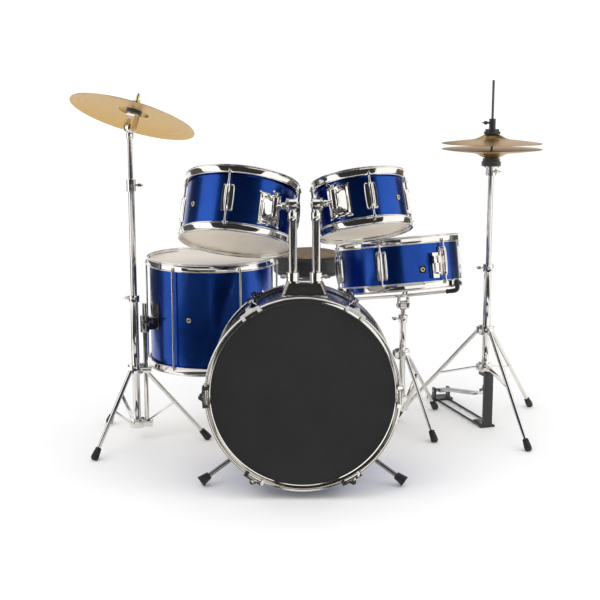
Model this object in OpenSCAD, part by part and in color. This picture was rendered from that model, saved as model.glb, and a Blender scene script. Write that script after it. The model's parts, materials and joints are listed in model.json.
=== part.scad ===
// A junior drum kit: bass drum, two rack toms, floor tom and snare drum, with a crash
// cymbal, a hi-hat, a kick pedal and a throne. Millimetres, +Z up. The audience is
// towards -Y and the drummer sits towards +Y. The origin is on the floor, under the
// middle of the kit's bounding box.
//
// Every drum is drawn in a frame of its own, whose Z runs along the drum's axis. An
// angle round a drum or a stand is measured from its -Y side, positive towards +X.

/* [Bass drum] */
// Outer radius of the bass drum's shell
bass_r = 199; // [190:1:200]
// Length of the bass drum over both hoops
bass_len = 290; // [270:1:300]
// Height of the middle of the front hoop
bass_z = 226.7; // [226.6:0.1:232]
// Fall of the drum's axis towards the drummer
bass_tilt = 3.75; // [3:0.25:4]
// Width of each bass hoop along the drum
bass_hoop_w = 38; // [30:1:44]

/* [Rack toms] */
// Outer radius of the left rack tom's shell
left_tom_r = 124; // [118:1:126]
// Length of the left rack tom's shell
left_tom_d = 130; // [122:1:134]
// Tilt of the left rack tom towards the drummer
left_tom_tilt = 21; // [19.5:0.5:22.5]
// Outer radius of the right rack tom's shell
right_tom_r = 99.5; // [95:0.5:102]
// Length of the right rack tom's shell
right_tom_d = 110; // [105:1:114]
// Tilt of the right rack tom towards the drummer
right_tom_tilt = 18; // [16:0.5:20]
// Distance between the two tom posts
post_gap = 51; // [48:1:54]

/* [Floor tom] */
// Outer radius of the floor tom's shell
floor_tom_r = 152.5; // [148:0.5:154]
// Length of the floor tom's shell
floor_tom_d = 252; // [240:1:256]

/* [Snare drum] */
// Outer radius of the snare drum's shell
snare_r = 150; // [146:0.5:152]
// Length of the snare drum's shell
snare_d = 112; // [108:1:116]
// Tilt of the snare drum towards the drummer
snare_tilt = 9; // [8:0.5:10]

/* [Cymbals] */
// Radius of the crash cymbal
crash_r = 151; // [140:1:155]
// Tilt of the crash cymbal
crash_tilt = 22.6; // [15:0.1:25]
// Radius of the two hi-hat cymbals
hat_r = 123; // [118:1:127]
// Gap between the edges of the open hi-hat cymbals
hat_gap = 15; // [14:0.5:18]

/* [Throne] */
// Radius of the round seat
seat_r = 104; // [95:1:110]
// Height of the crown of the seat
seat_top = 404; // [395:1:420]

/* [Hidden] */
$fn = 64;

// The kit's bounding box has its middle here, measured from the floor below the
// middle of the bass drum's front hoop.
mid_x = 41.42;
mid_y = 501.24;

// Drum hoops: how far a hoop stands beyond the head, how far its flange reaches back
// along the shell, the pitch radius of its tension rods beyond the shell, and the rods'
// radius.
rim = 10;
flange = 10;
rod_out = 9.6;
rod_r = 2.3;
shell_t = 5;

// Where each piece stands, from the middle of the front hoop
left_tom_at = [-151, 252.1, 511];
left_tom_lean = 6;
right_tom_at = [141.9, 234, 537.3];
right_tom_lean = -8;
floor_tom_at = [-226, 495, 180];
snare_mid = [246, 565, 417];
snare_lean = -5;
post_y = 150;
post_mid_x = 4;
post_r = 9.2;
tilt_z = 613;
left_post_x = post_mid_x - post_gap / 2;
right_post_x = post_mid_x + post_gap / 2;
crash_at = [-408, 409, 0];
hat_at = [469, 542, 0];
snare_stand_at = [257, 552, 0];
throne_at = [17, 920, 0];
kick_y = 266;

// Tension rod angles
bass_rods = [32, 91, 150, 210, 269, 328];
left_tom_rods = [for (i = [0:3]) -11 + 90 * i];
right_tom_rods = [for (i = [0:3]) 11 + 90 * i];
floor_tom_rod_angles = [for (i = [0:5]) 29 + 60 * i];
snare_rods = [for (i = [0:5]) -20 + 60 * i];

// Running clearance of a shaft in its bore, and the gap between pieces that only pass
fit = 0.05;
gap = 0.3;

// ---------------------------------------------------------------- frames

module kit() translate([-mid_x, -mid_y, 0]) children();

// Z runs from the front hoop's outer edge towards the drummer, and -Y points up
module on_bass() kit() translate([0, 0, bass_z]) rotate([-90 - bass_tilt, 0, 0]) children();

module on_left_tom() kit() translate(left_tom_at) rotate([-left_tom_tilt, left_tom_lean, 0])
    children();

module on_right_tom() kit() translate(right_tom_at) rotate([-right_tom_tilt, right_tom_lean, 0])
    children();

module on_floor_tom() kit() translate(floor_tom_at) children();

// Z is 0 at the lower rim of the snare drum
module on_snare() kit() translate(snare_mid) rotate([-snare_tilt, snare_lean, 0])
    translate([0, 0, -snare_d / 2 - rim]) children();

// Z is 0 at the tilter's pivot and runs along the cymbal's axis
crash_pivot_z = 768;
crash_heading = 39;
module on_crash() kit() translate(crash_at + [0, 0, crash_pivot_z])
    rotate([0, 0, -crash_heading]) rotate([-crash_tilt, 0, 0]) children();

module on_hat() kit() translate(hat_at) children();

// +Y runs from the hi-hat's column to its heel plate
hat_heading = 18;
module on_hat_pedal() on_hat() rotate([0, 0, hat_heading]) children();

module on_kick() kit() translate([0, kick_y, 0]) children();

// ---------------------------------------------------------------- small helpers

module ring(r_out, r_in, h) difference() {
    cylinder(r = r_out, h = h);
    translate([0, 0, -1]) cylinder(r = r_in, h = h + 2);
}

// Copies at the angles, each with -Y pointing outwards at the radius
module round_at(angles, r) for (a = angles) rotate([0, 0, a]) translate([0, -r, 0]) children();

// A round bar from one point to another
module strut(a, b, r) {
    d = b - a;
    translate(a) rotate([0, acos(d.z / norm(d)), atan2(d.y, d.x)]) cylinder(r = r, h = norm(d));
}

// A flat bar from one point to another, w wide along the horizontal
module strap(a, b, w, t) {
    d = b - a;
    translate(a) rotate([0, acos(d.z / norm(d)), atan2(d.y, d.x)])
        translate([-t / 2, -w / 2, 0]) cube([t, w, norm(d)]);
}

// A wing bolt along +X: shank, boss and two wings
module wing_bolt(shank) {
    rotate([0, 90, 0]) cylinder(r = 2.5, h = shank + 1);
    translate([shank, 0, 0]) rotate([0, 90, 0]) cylinder(r = 4.5, h = 7);
    for (s = [-1, 1]) translate([shank + 1.5, s * 8 - 4.5, -1.5]) cube([9, 9, 3]);
}

// ---------------------------------------------------------------- drums

module drum_shell(r, d) translate([0, 0, rim]) ring(r, r - shell_t, d);

// One head: a film with a flesh hoop that reaches down outside the shell
module head(r) {
    film_t = 0.7;
    cylinder(r = r + 3.4, h = film_t);
    translate([0, 0, -6]) ring(r + 3.4, r + 0.5, 6 + film_t);
}

module drum_heads(r, d) {
    translate([0, 0, rim + d]) head(r);
    translate([0, 0, rim]) mirror([0, 0, 1]) head(r);
}

// One triple-flanged hoop, with an ear for each tension rod
module hoop(r, angles) difference() {
    union() {
        rotate_extrude() polygon([
            [r + 3.7, -flange], [r + 8.5, -flange], [r + 8.5, 2 - flange],
            [r + 5.9, 2 - flange],
            [r + 5.9, rim - 2], [r + 8, rim - 2], [r + 8, rim], [r + 3.7, rim],
            [r + 3.7, 3], [r + 1, 3], [r + 1, 0.8], [r + 3.7, 0.8]
        ]);
        round_at(angles, r + rod_out) translate([0, 0, -flange - 0.3]) cylinder(r = 5, h = 2.2);
    }
    round_at(angles, r + rod_out) translate([0, 0, -flange - 1]) cylinder(r = rod_r + 0.2, h = 4);
}

module drum_hoops(r, d, angles) {
    translate([0, 0, rim + d]) hoop(r, angles);
    translate([0, 0, rim]) mirror([0, 0, 1]) hoop(r, angles);
}

// A tension rod with its square-shouldered head, from z0 up to the hoop's ear at z1
module tension_rod(z0, z1) {
    translate([0, 0, z0]) cylinder(r = rod_r, h = z1 - z0 + 2.1);
    translate([0, 0, z1 + 2.1]) cylinder(r = 3.3, h = 3);
    translate([0, 0, z1 + 5]) cylinder(r = 2.2, h = 4);
}

// A lug casing of length l on the shell, with a tension rod from each end
lug_w = 29;
module lug(r, d, l) {
    mid = rim + d / 2;
    difference() {
        union() {
            translate([-lug_w / 2, -9.5, mid - l / 2]) cube([lug_w, 12, l]);
            translate([0, -rod_out, mid - l / 2]) cylinder(r = 6.4, h = l);
        }
        translate([0, r, mid - l]) cylinder(r = r, h = 2 * l);
    }
    translate([0, -rod_out, 0]) tension_rod(mid, rim + d - flange);
    translate([0, -rod_out, 2 * mid]) mirror([0, 0, 1]) tension_rod(mid, rim + d - flange);
}

module drum_lugs(r, d, angles, l) for (a = angles) rotate([0, 0, a]) translate([0, -r, 0])
    lug(r, d, l);

// ---------------------------------------------------------------- bass drum

module bass_shell() color("navy") on_bass() difference() {
    translate([0, 0, 12]) ring(bass_r, bass_r - 6, bass_len - 24);
    for (s = [-1, 1]) spur_line(s) translate([0, 0, -60]) cylinder(r = 6.5, h = 80);
    bass_unplace() for (x = [left_post_x, right_post_x])
        translate([x, post_y, 360]) cylinder(r = 10.5, h = 90);
}

// Brings a shape drawn in the layout's frame into the bass drum's own frame
module bass_unplace() rotate([90 + bass_tilt, 0, 0]) translate([0, 0, -bass_z]) children();

module bass_heads() {
    color("black") on_bass() translate([0, 0, 12]) mirror([0, 0, 1]) head(bass_r);
    color("white") on_bass() translate([0, 0, bass_len - 12]) head(bass_r);
}

// A rolled steel hoop: its web presses the head, a bead runs along each edge, and its
// outer face is set back between them
module bass_hoop() rotate_extrude() polygon([
    [bass_r - 3.2, 9.4], [bass_r - 1.8, 8], [bass_r - 0.4, 8.8], [bass_r + 6.8, 8.8],
    [bass_r + 6.8, 4], [bass_r + 5.4, 3], [bass_r + 5.4, 1], [bass_r + 6.4, 0],
    [bass_r + 8, 0], [bass_r + 9, 1], [bass_r + 9, 4], [bass_r + 8.2, 4.6],
    [bass_r + 8.2, bass_hoop_w - 4.6], [bass_r + 9, bass_hoop_w - 4],
    [bass_r + 9, bass_hoop_w], [bass_r + 4, bass_hoop_w], [bass_r + 4, bass_hoop_w - 2],
    [bass_r + 6.8, bass_hoop_w - 2], [bass_r + 6.8, 11.2],
    [bass_r - 1.8, 11.2], [bass_r - 3.2, 10.4]
]);

module bass_hoops() color("silver") on_bass() {
    bass_hoop();
    translate([0, 0, bass_len]) mirror([0, 0, 1]) bass_hoop();
}

bass_rod_out = 15.5;
bass_lug_l = 66;
module bass_lugs() color("silver") on_bass() difference() {
    round_at(bass_rods, bass_r) translate([-9, -22, bass_len / 2 - bass_lug_l / 2])
        cube([18, 24, bass_lug_l]);
    cylinder(r = bass_r, h = bass_len);
    round_at(bass_rods, bass_r + bass_rod_out) cylinder(r = 3, h = bass_len);
}

// A claw is a low strap across the hoop with a boss for its screw and a finger hooked
// over the hoop at each end. Its rod runs back to the lug.
claw_w = 46;
module bass_claw() {
    half = asin(claw_w / 2 / (bass_r + 9.3));
    translate([0, bass_r, -4]) rotate([0, 0, -90 - half]) rotate_extrude(angle = 2 * half)
        translate([bass_r + 9.3, 0]) square([4.2, 15]);
    difference() {
        union() {
            translate([-8, -bass_rod_out, -5]) cube([16, bass_rod_out - 8, 17]);
            translate([0, -bass_rod_out, -5]) cylinder(r = 5.8, h = 17);
        }
        translate([0, bass_r, -6]) cylinder(r = bass_r + 9.2, h = 20);
    }
    for (s = [-1, 1]) translate([s * (claw_w / 2 - 4) - 4, -12, -4]) cube([8, 12, 3.6]);
    translate([0, -bass_rod_out, -9]) cylinder(r = 2.9, h = bass_len / 2 - 20);
    translate([0, -bass_rod_out, -9]) cylinder(r = 4.6, h = 5.5);
}

module bass_claws() color("silver") on_bass() {
    round_at(bass_rods, bass_r) bass_claw();
    translate([0, 0, bass_len]) mirror([0, 0, 1]) round_at(bass_rods, bass_r) bass_claw();
}

// The spurs leave the shell low down on each side and lean forwards. Z runs outwards
// along the spur from the shell's surface.
spur_angle = 138;
spur_z = 118;
spur_r = 5;
spur_foot_len = 112.7;
module spur_line(s) rotate([0, 0, s * spur_angle]) translate([0, -bass_r, spur_z])
    rotate([90, 0, 0]) rotate([15, 0, 0]) rotate([0, -s * 13, 0]) children();

module bass_spur_brackets() color("silver") on_bass() for (s = [-1, 1]) difference() {
    union() {
        rotate([0, 0, s * spur_angle - 96]) translate([0, 0, spur_z - 22])
            rotate_extrude(angle = 12) translate([bass_r, 0]) square([5, 44]);
        spur_line(s) translate([0, 0, -4]) cylinder(r = 11, h = 26);
    }
    cylinder(r = bass_r, h = bass_len);
    spur_line(s) translate([0, 0, -40]) cylinder(r = spur_r + fit, h = 90);
}

module spur(s) on_bass() {
    spur_line(s) translate([0, 0, -56]) cylinder(r = spur_r, h = 56 + spur_foot_len - 18);
    spur_line(s) translate([0, 0, spur_foot_len - 22]) difference() {
        cylinder(r1 = 8, r2 = 12, h = 24);
        translate([0, 0, -1]) cylinder(r = spur_r + 0.02, h = 5.1);
    }
}

module left_spur() color("dimgray") spur(-1);
module right_spur() color("dimgray") spur(1);

// ---------------------------------------------------------------- rack toms

mount_low = 405;
mount_top = 447;
module tom_mount() color("silver") kit() difference() {
    union() {
        intersection() {
            translate([-60, 0, 0]) rotate([90, 0, 90]) linear_extrude(140) polygon([
                [54, mount_low], [54, 428], [118, mount_top], [172, mount_top], [172, mount_low]
            ]);
            translate([post_mid_x, 200, 0]) rotate([90, 0, 0]) linear_extrude(200) polygon([
                [-49, mount_low], [-48, 428], [-37, mount_top], [37, mount_top],
                [48, 428], [49, mount_low]
            ]);
        }
        for (x = [left_post_x, right_post_x]) translate([x, post_y, mount_top - 2])
            cylinder(r = 14, h = 20);
        translate([left_post_x, post_y, mount_top + 8]) rotate([0, 0, 180]) wing_bolt(17);
        translate([right_post_x, post_y, mount_top + 8]) wing_bolt(17);
    }
    translate([0, 0, bass_z]) rotate([-90 - bass_tilt, 0, 0]) cylinder(r = bass_r, h = 320);
    for (x = [left_post_x, right_post_x]) translate([x, post_y, 380])
        cylinder(r = post_r + fit, h = 100);
}

// A post with a knuckle across its top, bored for the tilt pin
module tom_post(x) kit() {
    knuckle_r = 12;
    difference() {
        union() {
            translate([x, post_y, 392]) cylinder(r = post_r, h = tilt_z - 16 - 392);
            translate([x, post_y, tilt_z - 17]) cylinder(r = 7.8, h = 12);
            translate([x - 8, post_y, tilt_z]) rotate([0, 90, 0]) cylinder(r = knuckle_r, h = 16);
            translate([x, post_y, tilt_z - 34]) cylinder(r = 11.5, h = 18);
        }
        translate([x - 20, post_y, tilt_z]) rotate([0, 90, 0]) cylinder(r = 4 + fit, h = 40);
    }
}

module left_tom_post() color("silver") tom_post(left_post_x);
module right_tom_post() color("silver") tom_post(right_post_x);

module left_tom_shell() color("mediumblue") on_left_tom() drum_shell(left_tom_r, left_tom_d);
module left_tom_heads() color("wheat") on_left_tom() drum_heads(left_tom_r, left_tom_d);
module left_tom_hoops() color("silver") on_left_tom()
    drum_hoops(left_tom_r, left_tom_d, left_tom_rods);
module left_tom_lugs() color("silver") on_left_tom()
    drum_lugs(left_tom_r, left_tom_d, left_tom_rods, 60);

module right_tom_shell() color("mediumblue") on_right_tom()
    drum_shell(right_tom_r, right_tom_d);
module right_tom_heads() color("wheat") on_right_tom() drum_heads(right_tom_r, right_tom_d);
module right_tom_hoops() color("silver") on_right_tom()
    drum_hoops(right_tom_r, right_tom_d, right_tom_rods);
module right_tom_lugs() color("silver") on_right_tom()
    drum_lugs(right_tom_r, right_tom_d, right_tom_rods, 58);

// A curved plate on the shell, w wide, with a boss that holds the arm and its wing bolt
module bracket_plate(r, d, angle, w, h, drop) {
    mid = rim + d / 2 - drop;
    half = asin(w / 2 / r);
    rotate([0, 0, angle - 90 - half]) translate([0, 0, mid - h / 2])
        rotate_extrude(angle = 2 * half) translate([r, 0]) square([3, h]);
    rotate([0, 0, angle]) difference() {
        translate([-15, -r - 24, mid - 17]) cube([30, 22.5, 34]);
        translate([0, 0, mid - 30]) cylinder(r = r + 1, h = 60);
    }
    rotate([0, 0, angle]) translate([0, -r - 20, mid - 20]) cylinder(r = 8.5, h = 44);
    rotate([0, 0, angle]) translate([0, -r - 20, mid + 20]) rotate([0, -90, 0]) wing_bolt(6);
}

// The arm: a pin through the post's knuckle, a toothed disc on the drum's side, a washer
// on the other and a rod to the boss
module tilt_arm(x, side, boss) kit() {
    translate([x, post_y, tilt_z]) mirror([side < 0 ? 1 : 0, 0, 0]) rotate([0, 90, 0]) {
        translate([0, 0, -13]) cylinder(r = 4, h = 26);
        translate([0, 0, 8 + gap]) cylinder(r = 15, h = 6);
        translate([0, 0, -12 - gap]) cylinder(r = 7, h = 4);
    }
    strut([x + side * 12, post_y, tilt_z], boss, 6);
}

module left_tom_bracket() color("silver") {
    on_left_tom() bracket_plate(left_tom_r, left_tom_d, 34, 59, 74, 12);
    tilt_arm(left_post_x, -1, [-60.3, post_y + 13.2, tilt_z - 9.4]);
}

module right_tom_bracket() color("silver") {
    on_right_tom() bracket_plate(right_tom_r, right_tom_d, -31, 59, 74, 0);
    tilt_arm(right_post_x, 1, [67.9, post_y + 6.7, tilt_z + 8.3]);
}

// ---------------------------------------------------------------- floor tom

module floor_tom_shell() color("mediumblue") on_floor_tom()
    drum_shell(floor_tom_r, floor_tom_d);
module floor_tom_heads() color("mistyrose") on_floor_tom()
    drum_heads(floor_tom_r, floor_tom_d);
module floor_tom_hoops() color("silver") on_floor_tom()
    drum_hoops(floor_tom_r, floor_tom_d, floor_tom_rod_angles);

// Each rod runs from the upper hoop's ear to the lower one's
module floor_tom_rods() color("silver") on_floor_tom()
    round_at(floor_tom_rod_angles, floor_tom_r + rod_out) {
        mid = rim + floor_tom_d / 2;
        tension_rod(mid, rim + floor_tom_d - flange);
        translate([0, 0, 2 * mid]) mirror([0, 0, 1]) tension_rod(mid, rim + floor_tom_d - flange);
    }

holder_r = 5.5;
holder_at = [-384, 412];
holder_top = 346;
sleeve_z = 275;
module floor_tom_bracket() color("dimgray") {
    angle = atan2(holder_at.x - floor_tom_at.x, floor_tom_at.y - holder_at.y);
    kit() difference() {
        union() {
            translate([holder_at.x, holder_at.y, sleeve_z]) cylinder(r = 11, h = 40);
            translate([floor_tom_at.x, floor_tom_at.y, sleeve_z + 5]) rotate([0, 0, angle])
                translate([-8, -floor_tom_r - 24, 0]) cube([16, 24, 30]);
            translate([holder_at.x, holder_at.y, sleeve_z + 28]) rotate([0, 0, -65])
                wing_bolt(16);
        }
        translate([holder_at.x, holder_at.y, sleeve_z - 1]) cylinder(r = holder_r + fit, h = 60);
        translate([floor_tom_at.x, floor_tom_at.y, sleeve_z - 1])
            cylinder(r = floor_tom_r, h = 60);
    }
    on_floor_tom() rotate([0, 0, angle - 90 - 10]) translate([0, 0, 104])
        rotate_extrude(angle = 20) translate([floor_tom_r, 0]) square([3, 62]);
}

module floor_tom_holder() color("silver") kit()
    translate([holder_at.x, holder_at.y, 36]) cylinder(r = holder_r, h = holder_top - 36);

// ---------------------------------------------------------------- tripod stands

// Three legs from a hub to the floor, each propped from a lower bracket. The legs stop
// inside the rubber feet. The prop meets its leg at a share of the leg's length.
module tripod(turn, reach, hub_z, low_z, leg_r, hub_r, tube_r, share = 0.5) {
    for (i = [0:2]) rotate([0, 0, turn + 120 * i]) {
        leg_top = [0, -hub_r + 3, hub_z];
        leg_end = [0, -reach + 12, foot_z];
        strut(leg_top, leg_end, leg_r);
        strap([0, -hub_r + 3, low_z], leg_top + share * (leg_end - leg_top), 9, 3.5);
        translate([-6, -hub_r - 3, hub_z - 8]) cube([12, hub_r - tube_r + 3, 16]);
        translate([-6, -hub_r - 1, low_z - 7]) cube([12, hub_r - tube_r + 1, 14]);
    }
    translate([0, 0, hub_z - 11]) cylinder(r = hub_r - 2, h = 22);
    translate([0, 0, low_z - 11]) cylinder(r = hub_r - 4, h = 22);
}

// A rubber foot on the end of a leg that runs out along -Y, cut flat on the floor
foot_z = 13;
module rubber_foot(reach, hub_z, hub_r, leg_r) {
    start = [0, -hub_r + 3, hub_z];
    end = [0, -reach + 12, foot_z];
    along = (end - start) / norm(end - start);
    difference() {
        strut(end - 16 * along, end + 14 * along, leg_r + 4);
        strut(start, end, leg_r);
        translate([-20, -reach - 30, -40]) cube([40, 60, 40]);
    }
}

crash_turn = -27.5;
crash_reach = 180;
crash_hub_z = 184;
hat_turn = 18.8;
hat_reach = 237;
hat_hub_z = 252;
snare_turn = 23.3;
snare_reach = 179;
snare_hub_z = 187;
snare_prop_share = 0.38;
throne_turn = 0;
throne_reach = 165;
throne_hub_z = 175;
stand_hub_r = 22;
leg_r = 5;
throne_hub_r = 26;
throne_leg_r = 6;

module rubber_feet() color("black") {
    stands = [
        [crash_at, crash_turn, crash_reach, crash_hub_z, stand_hub_r, leg_r],
        [hat_at, hat_turn, hat_reach, hat_hub_z, stand_hub_r, leg_r],
        [snare_stand_at, snare_turn, snare_reach, snare_hub_z, stand_hub_r, leg_r],
        [throne_at, throne_turn, throne_reach, throne_hub_z, throne_hub_r, throne_leg_r]
    ];
    for (s = stands) kit() translate(s[0]) for (i = [0:2]) rotate([0, 0, s[1] + 120 * i])
        rubber_foot(s[2], s[3], s[4], s[5]);
}

// ---------------------------------------------------------------- crash cymbal stand

crash_tube_r = 9.75;
crash_mid_r = 7.5;
crash_top_r = 5.8;
crash_low_clamp = 350;
crash_high_clamp = 618;

// A clamp collar round a tube, with its wing bolt towards +X
module clamp(r, bore, h) {
    difference() {
        union() {
            cylinder(r = r, h = h);
            translate([0, 0, h / 2]) wing_bolt(r + 5);
        }
        translate([0, 0, -1]) cylinder(r = bore, h = h + 2);
    }
}

module crash_stand() color("silver") kit() translate(crash_at) difference() {
    union() {
        translate([0, 0, 36]) cylinder(r = crash_tube_r, h = crash_low_clamp - 36);
        translate([0, 0, crash_low_clamp]) rotate([0, 0, 150]) clamp(13, 4, 16);
        tripod(crash_turn, crash_reach, crash_hub_z, 47, leg_r, stand_hub_r, crash_tube_r);
        for (z = [crash_hub_z - 10, 38]) translate([4, -9, z]) cube([34, 22, 14]);
    }
    translate([0, 0, 120]) cylinder(r = crash_mid_r + fit, h = 300);
    translate([holder_at.x - crash_at.x, holder_at.y - crash_at.y, 36])
        cylinder(r = holder_r, h = 320);
}

module crash_middle_tube() color("silver") kit() translate(crash_at) difference() {
    union() {
        translate([0, 0, 180]) cylinder(r = crash_mid_r, h = crash_high_clamp - 180);
        translate([0, 0, crash_high_clamp]) rotate([0, 0, 0]) clamp(11, 3, 28);
    }
    translate([0, 0, 400]) cylinder(r = crash_top_r + fit, h = 300);
}

module crash_upper_tube() color("silver") kit() translate(crash_at) difference() {
    union() {
        translate([0, 0, 440]) cylinder(r = crash_top_r, h = crash_pivot_z - 440);
        translate([0, 0, crash_pivot_z - 26]) cylinder(r = 8.5, h = 14);
        rotate([0, 0, -crash_heading]) translate([-7, 0, crash_pivot_z]) rotate([0, 90, 0])
            cylinder(r = 12, h = 14);
    }
    rotate([0, 0, -crash_heading]) translate([-20, 0, crash_pivot_z]) rotate([0, 90, 0])
        cylinder(r = 4 + fit, h = 40);
}

// A yoke on a pin through the knuckle, with the cymbal's rod, washers, felts and wing nut
cymbal_z = 26;
crash_bow = 13;
crash_bell = 9;
module crash_tilter() color("dimgray") on_crash() {
    felt_top = cymbal_z + crash_bow + crash_bell - 1.2 - gap;
    translate([-16, 0, 0]) rotate([0, 90, 0]) cylinder(r = 4, h = 32);
    for (s = [-1, 1]) translate([s * (11 + gap) - 4, -8, -8]) cube([8, 16, felt_top - 7]);
    translate([-15.3, -8, felt_top - 21]) cube([30.6, 16, 5]);
    translate([0, 0, felt_top - 20]) cylinder(r = 4, h = 58);
    translate([0, 0, felt_top - 17]) cylinder(r = 17, h = 4.5);
    translate([0, 0, felt_top - 13]) cylinder(r = 19, h = 11.6);
    translate([0, 0, felt_top - 3]) cylinder(r = 10, h = 3);
    translate([0, 0, felt_top + 2.1]) cylinder(r = 15, h = 8);
    translate([0, 0, felt_top + 10]) cylinder(r = 7, h = 8);
    translate([-13, -1.5, felt_top + 12]) cube([26, 3, 10]);
}

// A lathed cymbal: its bow is an arc down from the bell to the edge, the bell a dome
module cymbal(r, bell_r, bell_h, bow, hole_r) {
    t = 1.2;
    steps = 8;
    bell = [for (i = [0:steps]) let (a = 90 * i / steps)
        [hole_r + (bell_r - hole_r) * sin(a), bow + bell_h * cos(a)]];
    skirt = [for (i = [1:steps]) let (u = i / steps)
        [bell_r + (r - bell_r) * u, bow * (1 - u * u)]];
    top = concat(bell, skirt);
    under = [for (i = [len(top) - 1:-1:0]) [top[i].x, top[i].y - t]];
    rotate_extrude($fn = 96) polygon(concat(top, under));
}

module crash_cymbal() color("goldenrod") on_crash() translate([0, 0, cymbal_z])
    cymbal(crash_r, 36, crash_bell, crash_bow, 6);

// ---------------------------------------------------------------- hi-hat

hat_tube_r = 9.75;
hat_top_r = 6.5;
hat_rod_r = 3;
hat_clamp_z = 402;
hat_seat_z = 687;
hat_bell = 14;
hat_bow = 8;
hat_edge_z = hat_seat_z + gap + hat_bell + hat_bow;

module hat_stand() color("silver") on_hat() difference() {
    union() {
        translate([0, 0, 150]) cylinder(r = hat_tube_r, h = hat_clamp_z - 150);
        translate([0, 0, hat_clamp_z]) rotate([0, 0, 180]) clamp(13, 4, 20);
        tripod(hat_turn, hat_reach, hat_hub_z, 155, leg_r, stand_hub_r, hat_tube_r);
    }
    translate([0, 0, 100]) cylinder(r = hat_top_r + fit, h = 400);
}

module hat_upper_tube() color("silver") on_hat() difference() {
    union() {
        translate([0, 0, 220]) cylinder(r = hat_top_r, h = hat_seat_z - 18 - 220);
        translate([0, 0, hat_seat_z - 42]) cylinder(r = 13, h = 20);
        translate([0, 0, hat_seat_z - 22]) cylinder(r = 19, h = 3);
        translate([0, 0, hat_seat_z - 32]) rotate([0, 0, -40]) wing_bolt(14);
    }
    translate([0, 0, 200]) cylinder(r = hat_rod_r + 0.5, h = 500);
}

module hat_seat() color("black") on_hat() difference() {
    union() {
        translate([0, 0, hat_seat_z - 19]) cylinder(r = 24, h = 11);
        translate([0, 0, hat_seat_z - 8]) cylinder(r = 21, h = 8);
    }
    translate([0, 0, hat_seat_z - 60]) cylinder(r = hat_top_r, h = 42);
    translate([0, 0, hat_seat_z - 20]) cylinder(r = hat_rod_r + 0.6, h = 30);
}

module hat_bottom_cymbal() color("goldenrod") on_hat()
    translate([0, 0, hat_edge_z]) mirror([0, 0, 1]) cymbal(hat_r, 30, hat_bell, hat_bow, 6);

module hat_top_cymbal() color("goldenrod") on_hat()
    translate([0, 0, hat_edge_z + hat_gap]) cymbal(hat_r, 30, hat_bell, hat_bow, 6);

hat_felt_z = hat_edge_z + hat_gap + hat_bell + hat_bow;
module hat_clutch() color("black") on_hat() difference() {
    union() {
        translate([0, 0, hat_felt_z]) cylinder(r = 20, h = 7);
        translate([0, 0, hat_felt_z + 6.5]) cylinder(r = 17, h = 6);
        translate([0, 0, hat_felt_z + 12]) cylinder(r = 8, h = 26);
        translate([0, 0, hat_felt_z - 14]) cylinder(r = 5.5, h = 15);
        translate([0, 0, hat_felt_z + 28]) rotate([0, 0, 180]) wing_bolt(13);
    }
    translate([0, 0, hat_felt_z - 20]) cylinder(r = hat_rod_r + fit, h = 80);
}

hat_rod_low = 96;
module hat_pull_rod() color("dimgray") on_hat() {
    translate([0, 0, hat_rod_low]) cylinder(r = hat_rod_r, h = 878 - hat_rod_low);
    translate([0, 0, hat_rod_low - 4]) cylinder(r = 6, h = 14);
    rotate([0, 0, hat_heading]) strut([0, 0, hat_rod_low], [0, 22, hat_rod_low - 8], 4);
}

// A black column down to the floor, a cross foot and the heel plate at the far end
heel_y = 262;
hinge_z = 26;
module hat_pedal_frame() color("black") {
    on_hat_pedal() difference() {
        union() {
            translate([-12, -24, 0]) cube([24, 9, 143.9]);
            translate([-12, -24, 133.9]) cube([24, 36, 10]);
            translate([-20, -24, 0]) cube([40, 12, 5]);
            translate([-12, -24, 0]) cube([24, 60, 6]);
        }
        translate([0, 0, 120]) cylinder(r = 8, h = 60);
    }
    on_hat_pedal() {
        for (x = [-17, 17]) strut([x, -18, 3.2], [x, heel_y - 10, 3.2], 2.6);
        translate([-30, heel_y - 14, 0]) cube([60, 44, 6]);
        for (x = [-24, 18]) difference() {
            translate([x, heel_y - 8, 5]) cube([6, 16, 30]);
            translate([x - 1, heel_y, hinge_z]) rotate([0, 90, 0]) cylinder(r = 3 + fit, h = 8);
        }
    }
}

toe_y = 30;
toe_z = 72;
module hat_footboard() color("gray") on_hat_pedal() {
    slope = atan2(toe_z - hinge_z, heel_y - toe_y);
    translate([-25, heel_y, hinge_z]) rotate([0, 90, 0]) cylinder(r = 3, h = 50);
    difference() {
        translate([0, heel_y, hinge_z]) rotate([-slope, 0, 0])
            translate([-17.5, -heel_y + toe_y - 6, 2]) cube([35, heel_y - toe_y, 5]);
        translate([0, 0, 60]) cylinder(r = 14, h = 60);
    }
    translate([-10, heel_y - 16, hinge_z - 2]) cube([20, 20, 8]);
}

// ---------------------------------------------------------------- snare drum and its stand

module snare_shell() color("mediumblue") on_snare() drum_shell(snare_r, snare_d);
module snare_heads() color("white") on_snare() drum_heads(snare_r, snare_d);
module snare_hoops() color("silver") on_snare() drum_hoops(snare_r, snare_d, snare_rods);
module snare_lugs() color("silver") on_snare() drum_lugs(snare_r, snare_d, snare_rods, 70);

strainer_angle = 29;
module snare_strainer() color("dimgray") on_snare() rotate([0, 0, strainer_angle])
    difference() {
        union() {
            translate([-9, -snare_r - 12, rim + 16]) cube([18, 14, 62]);
            translate([-9, -snare_r - 20, rim + 52]) cube([5, 10, 18]);
            translate([4, -snare_r - 20, rim + 52]) cube([5, 10, 18]);
        }
        cylinder(r = snare_r, h = 200);
        translate([-20, -snare_r - 15, rim + 61]) rotate([0, 90, 0]) cylinder(r = 2 + fit, h = 40);
    }

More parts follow.
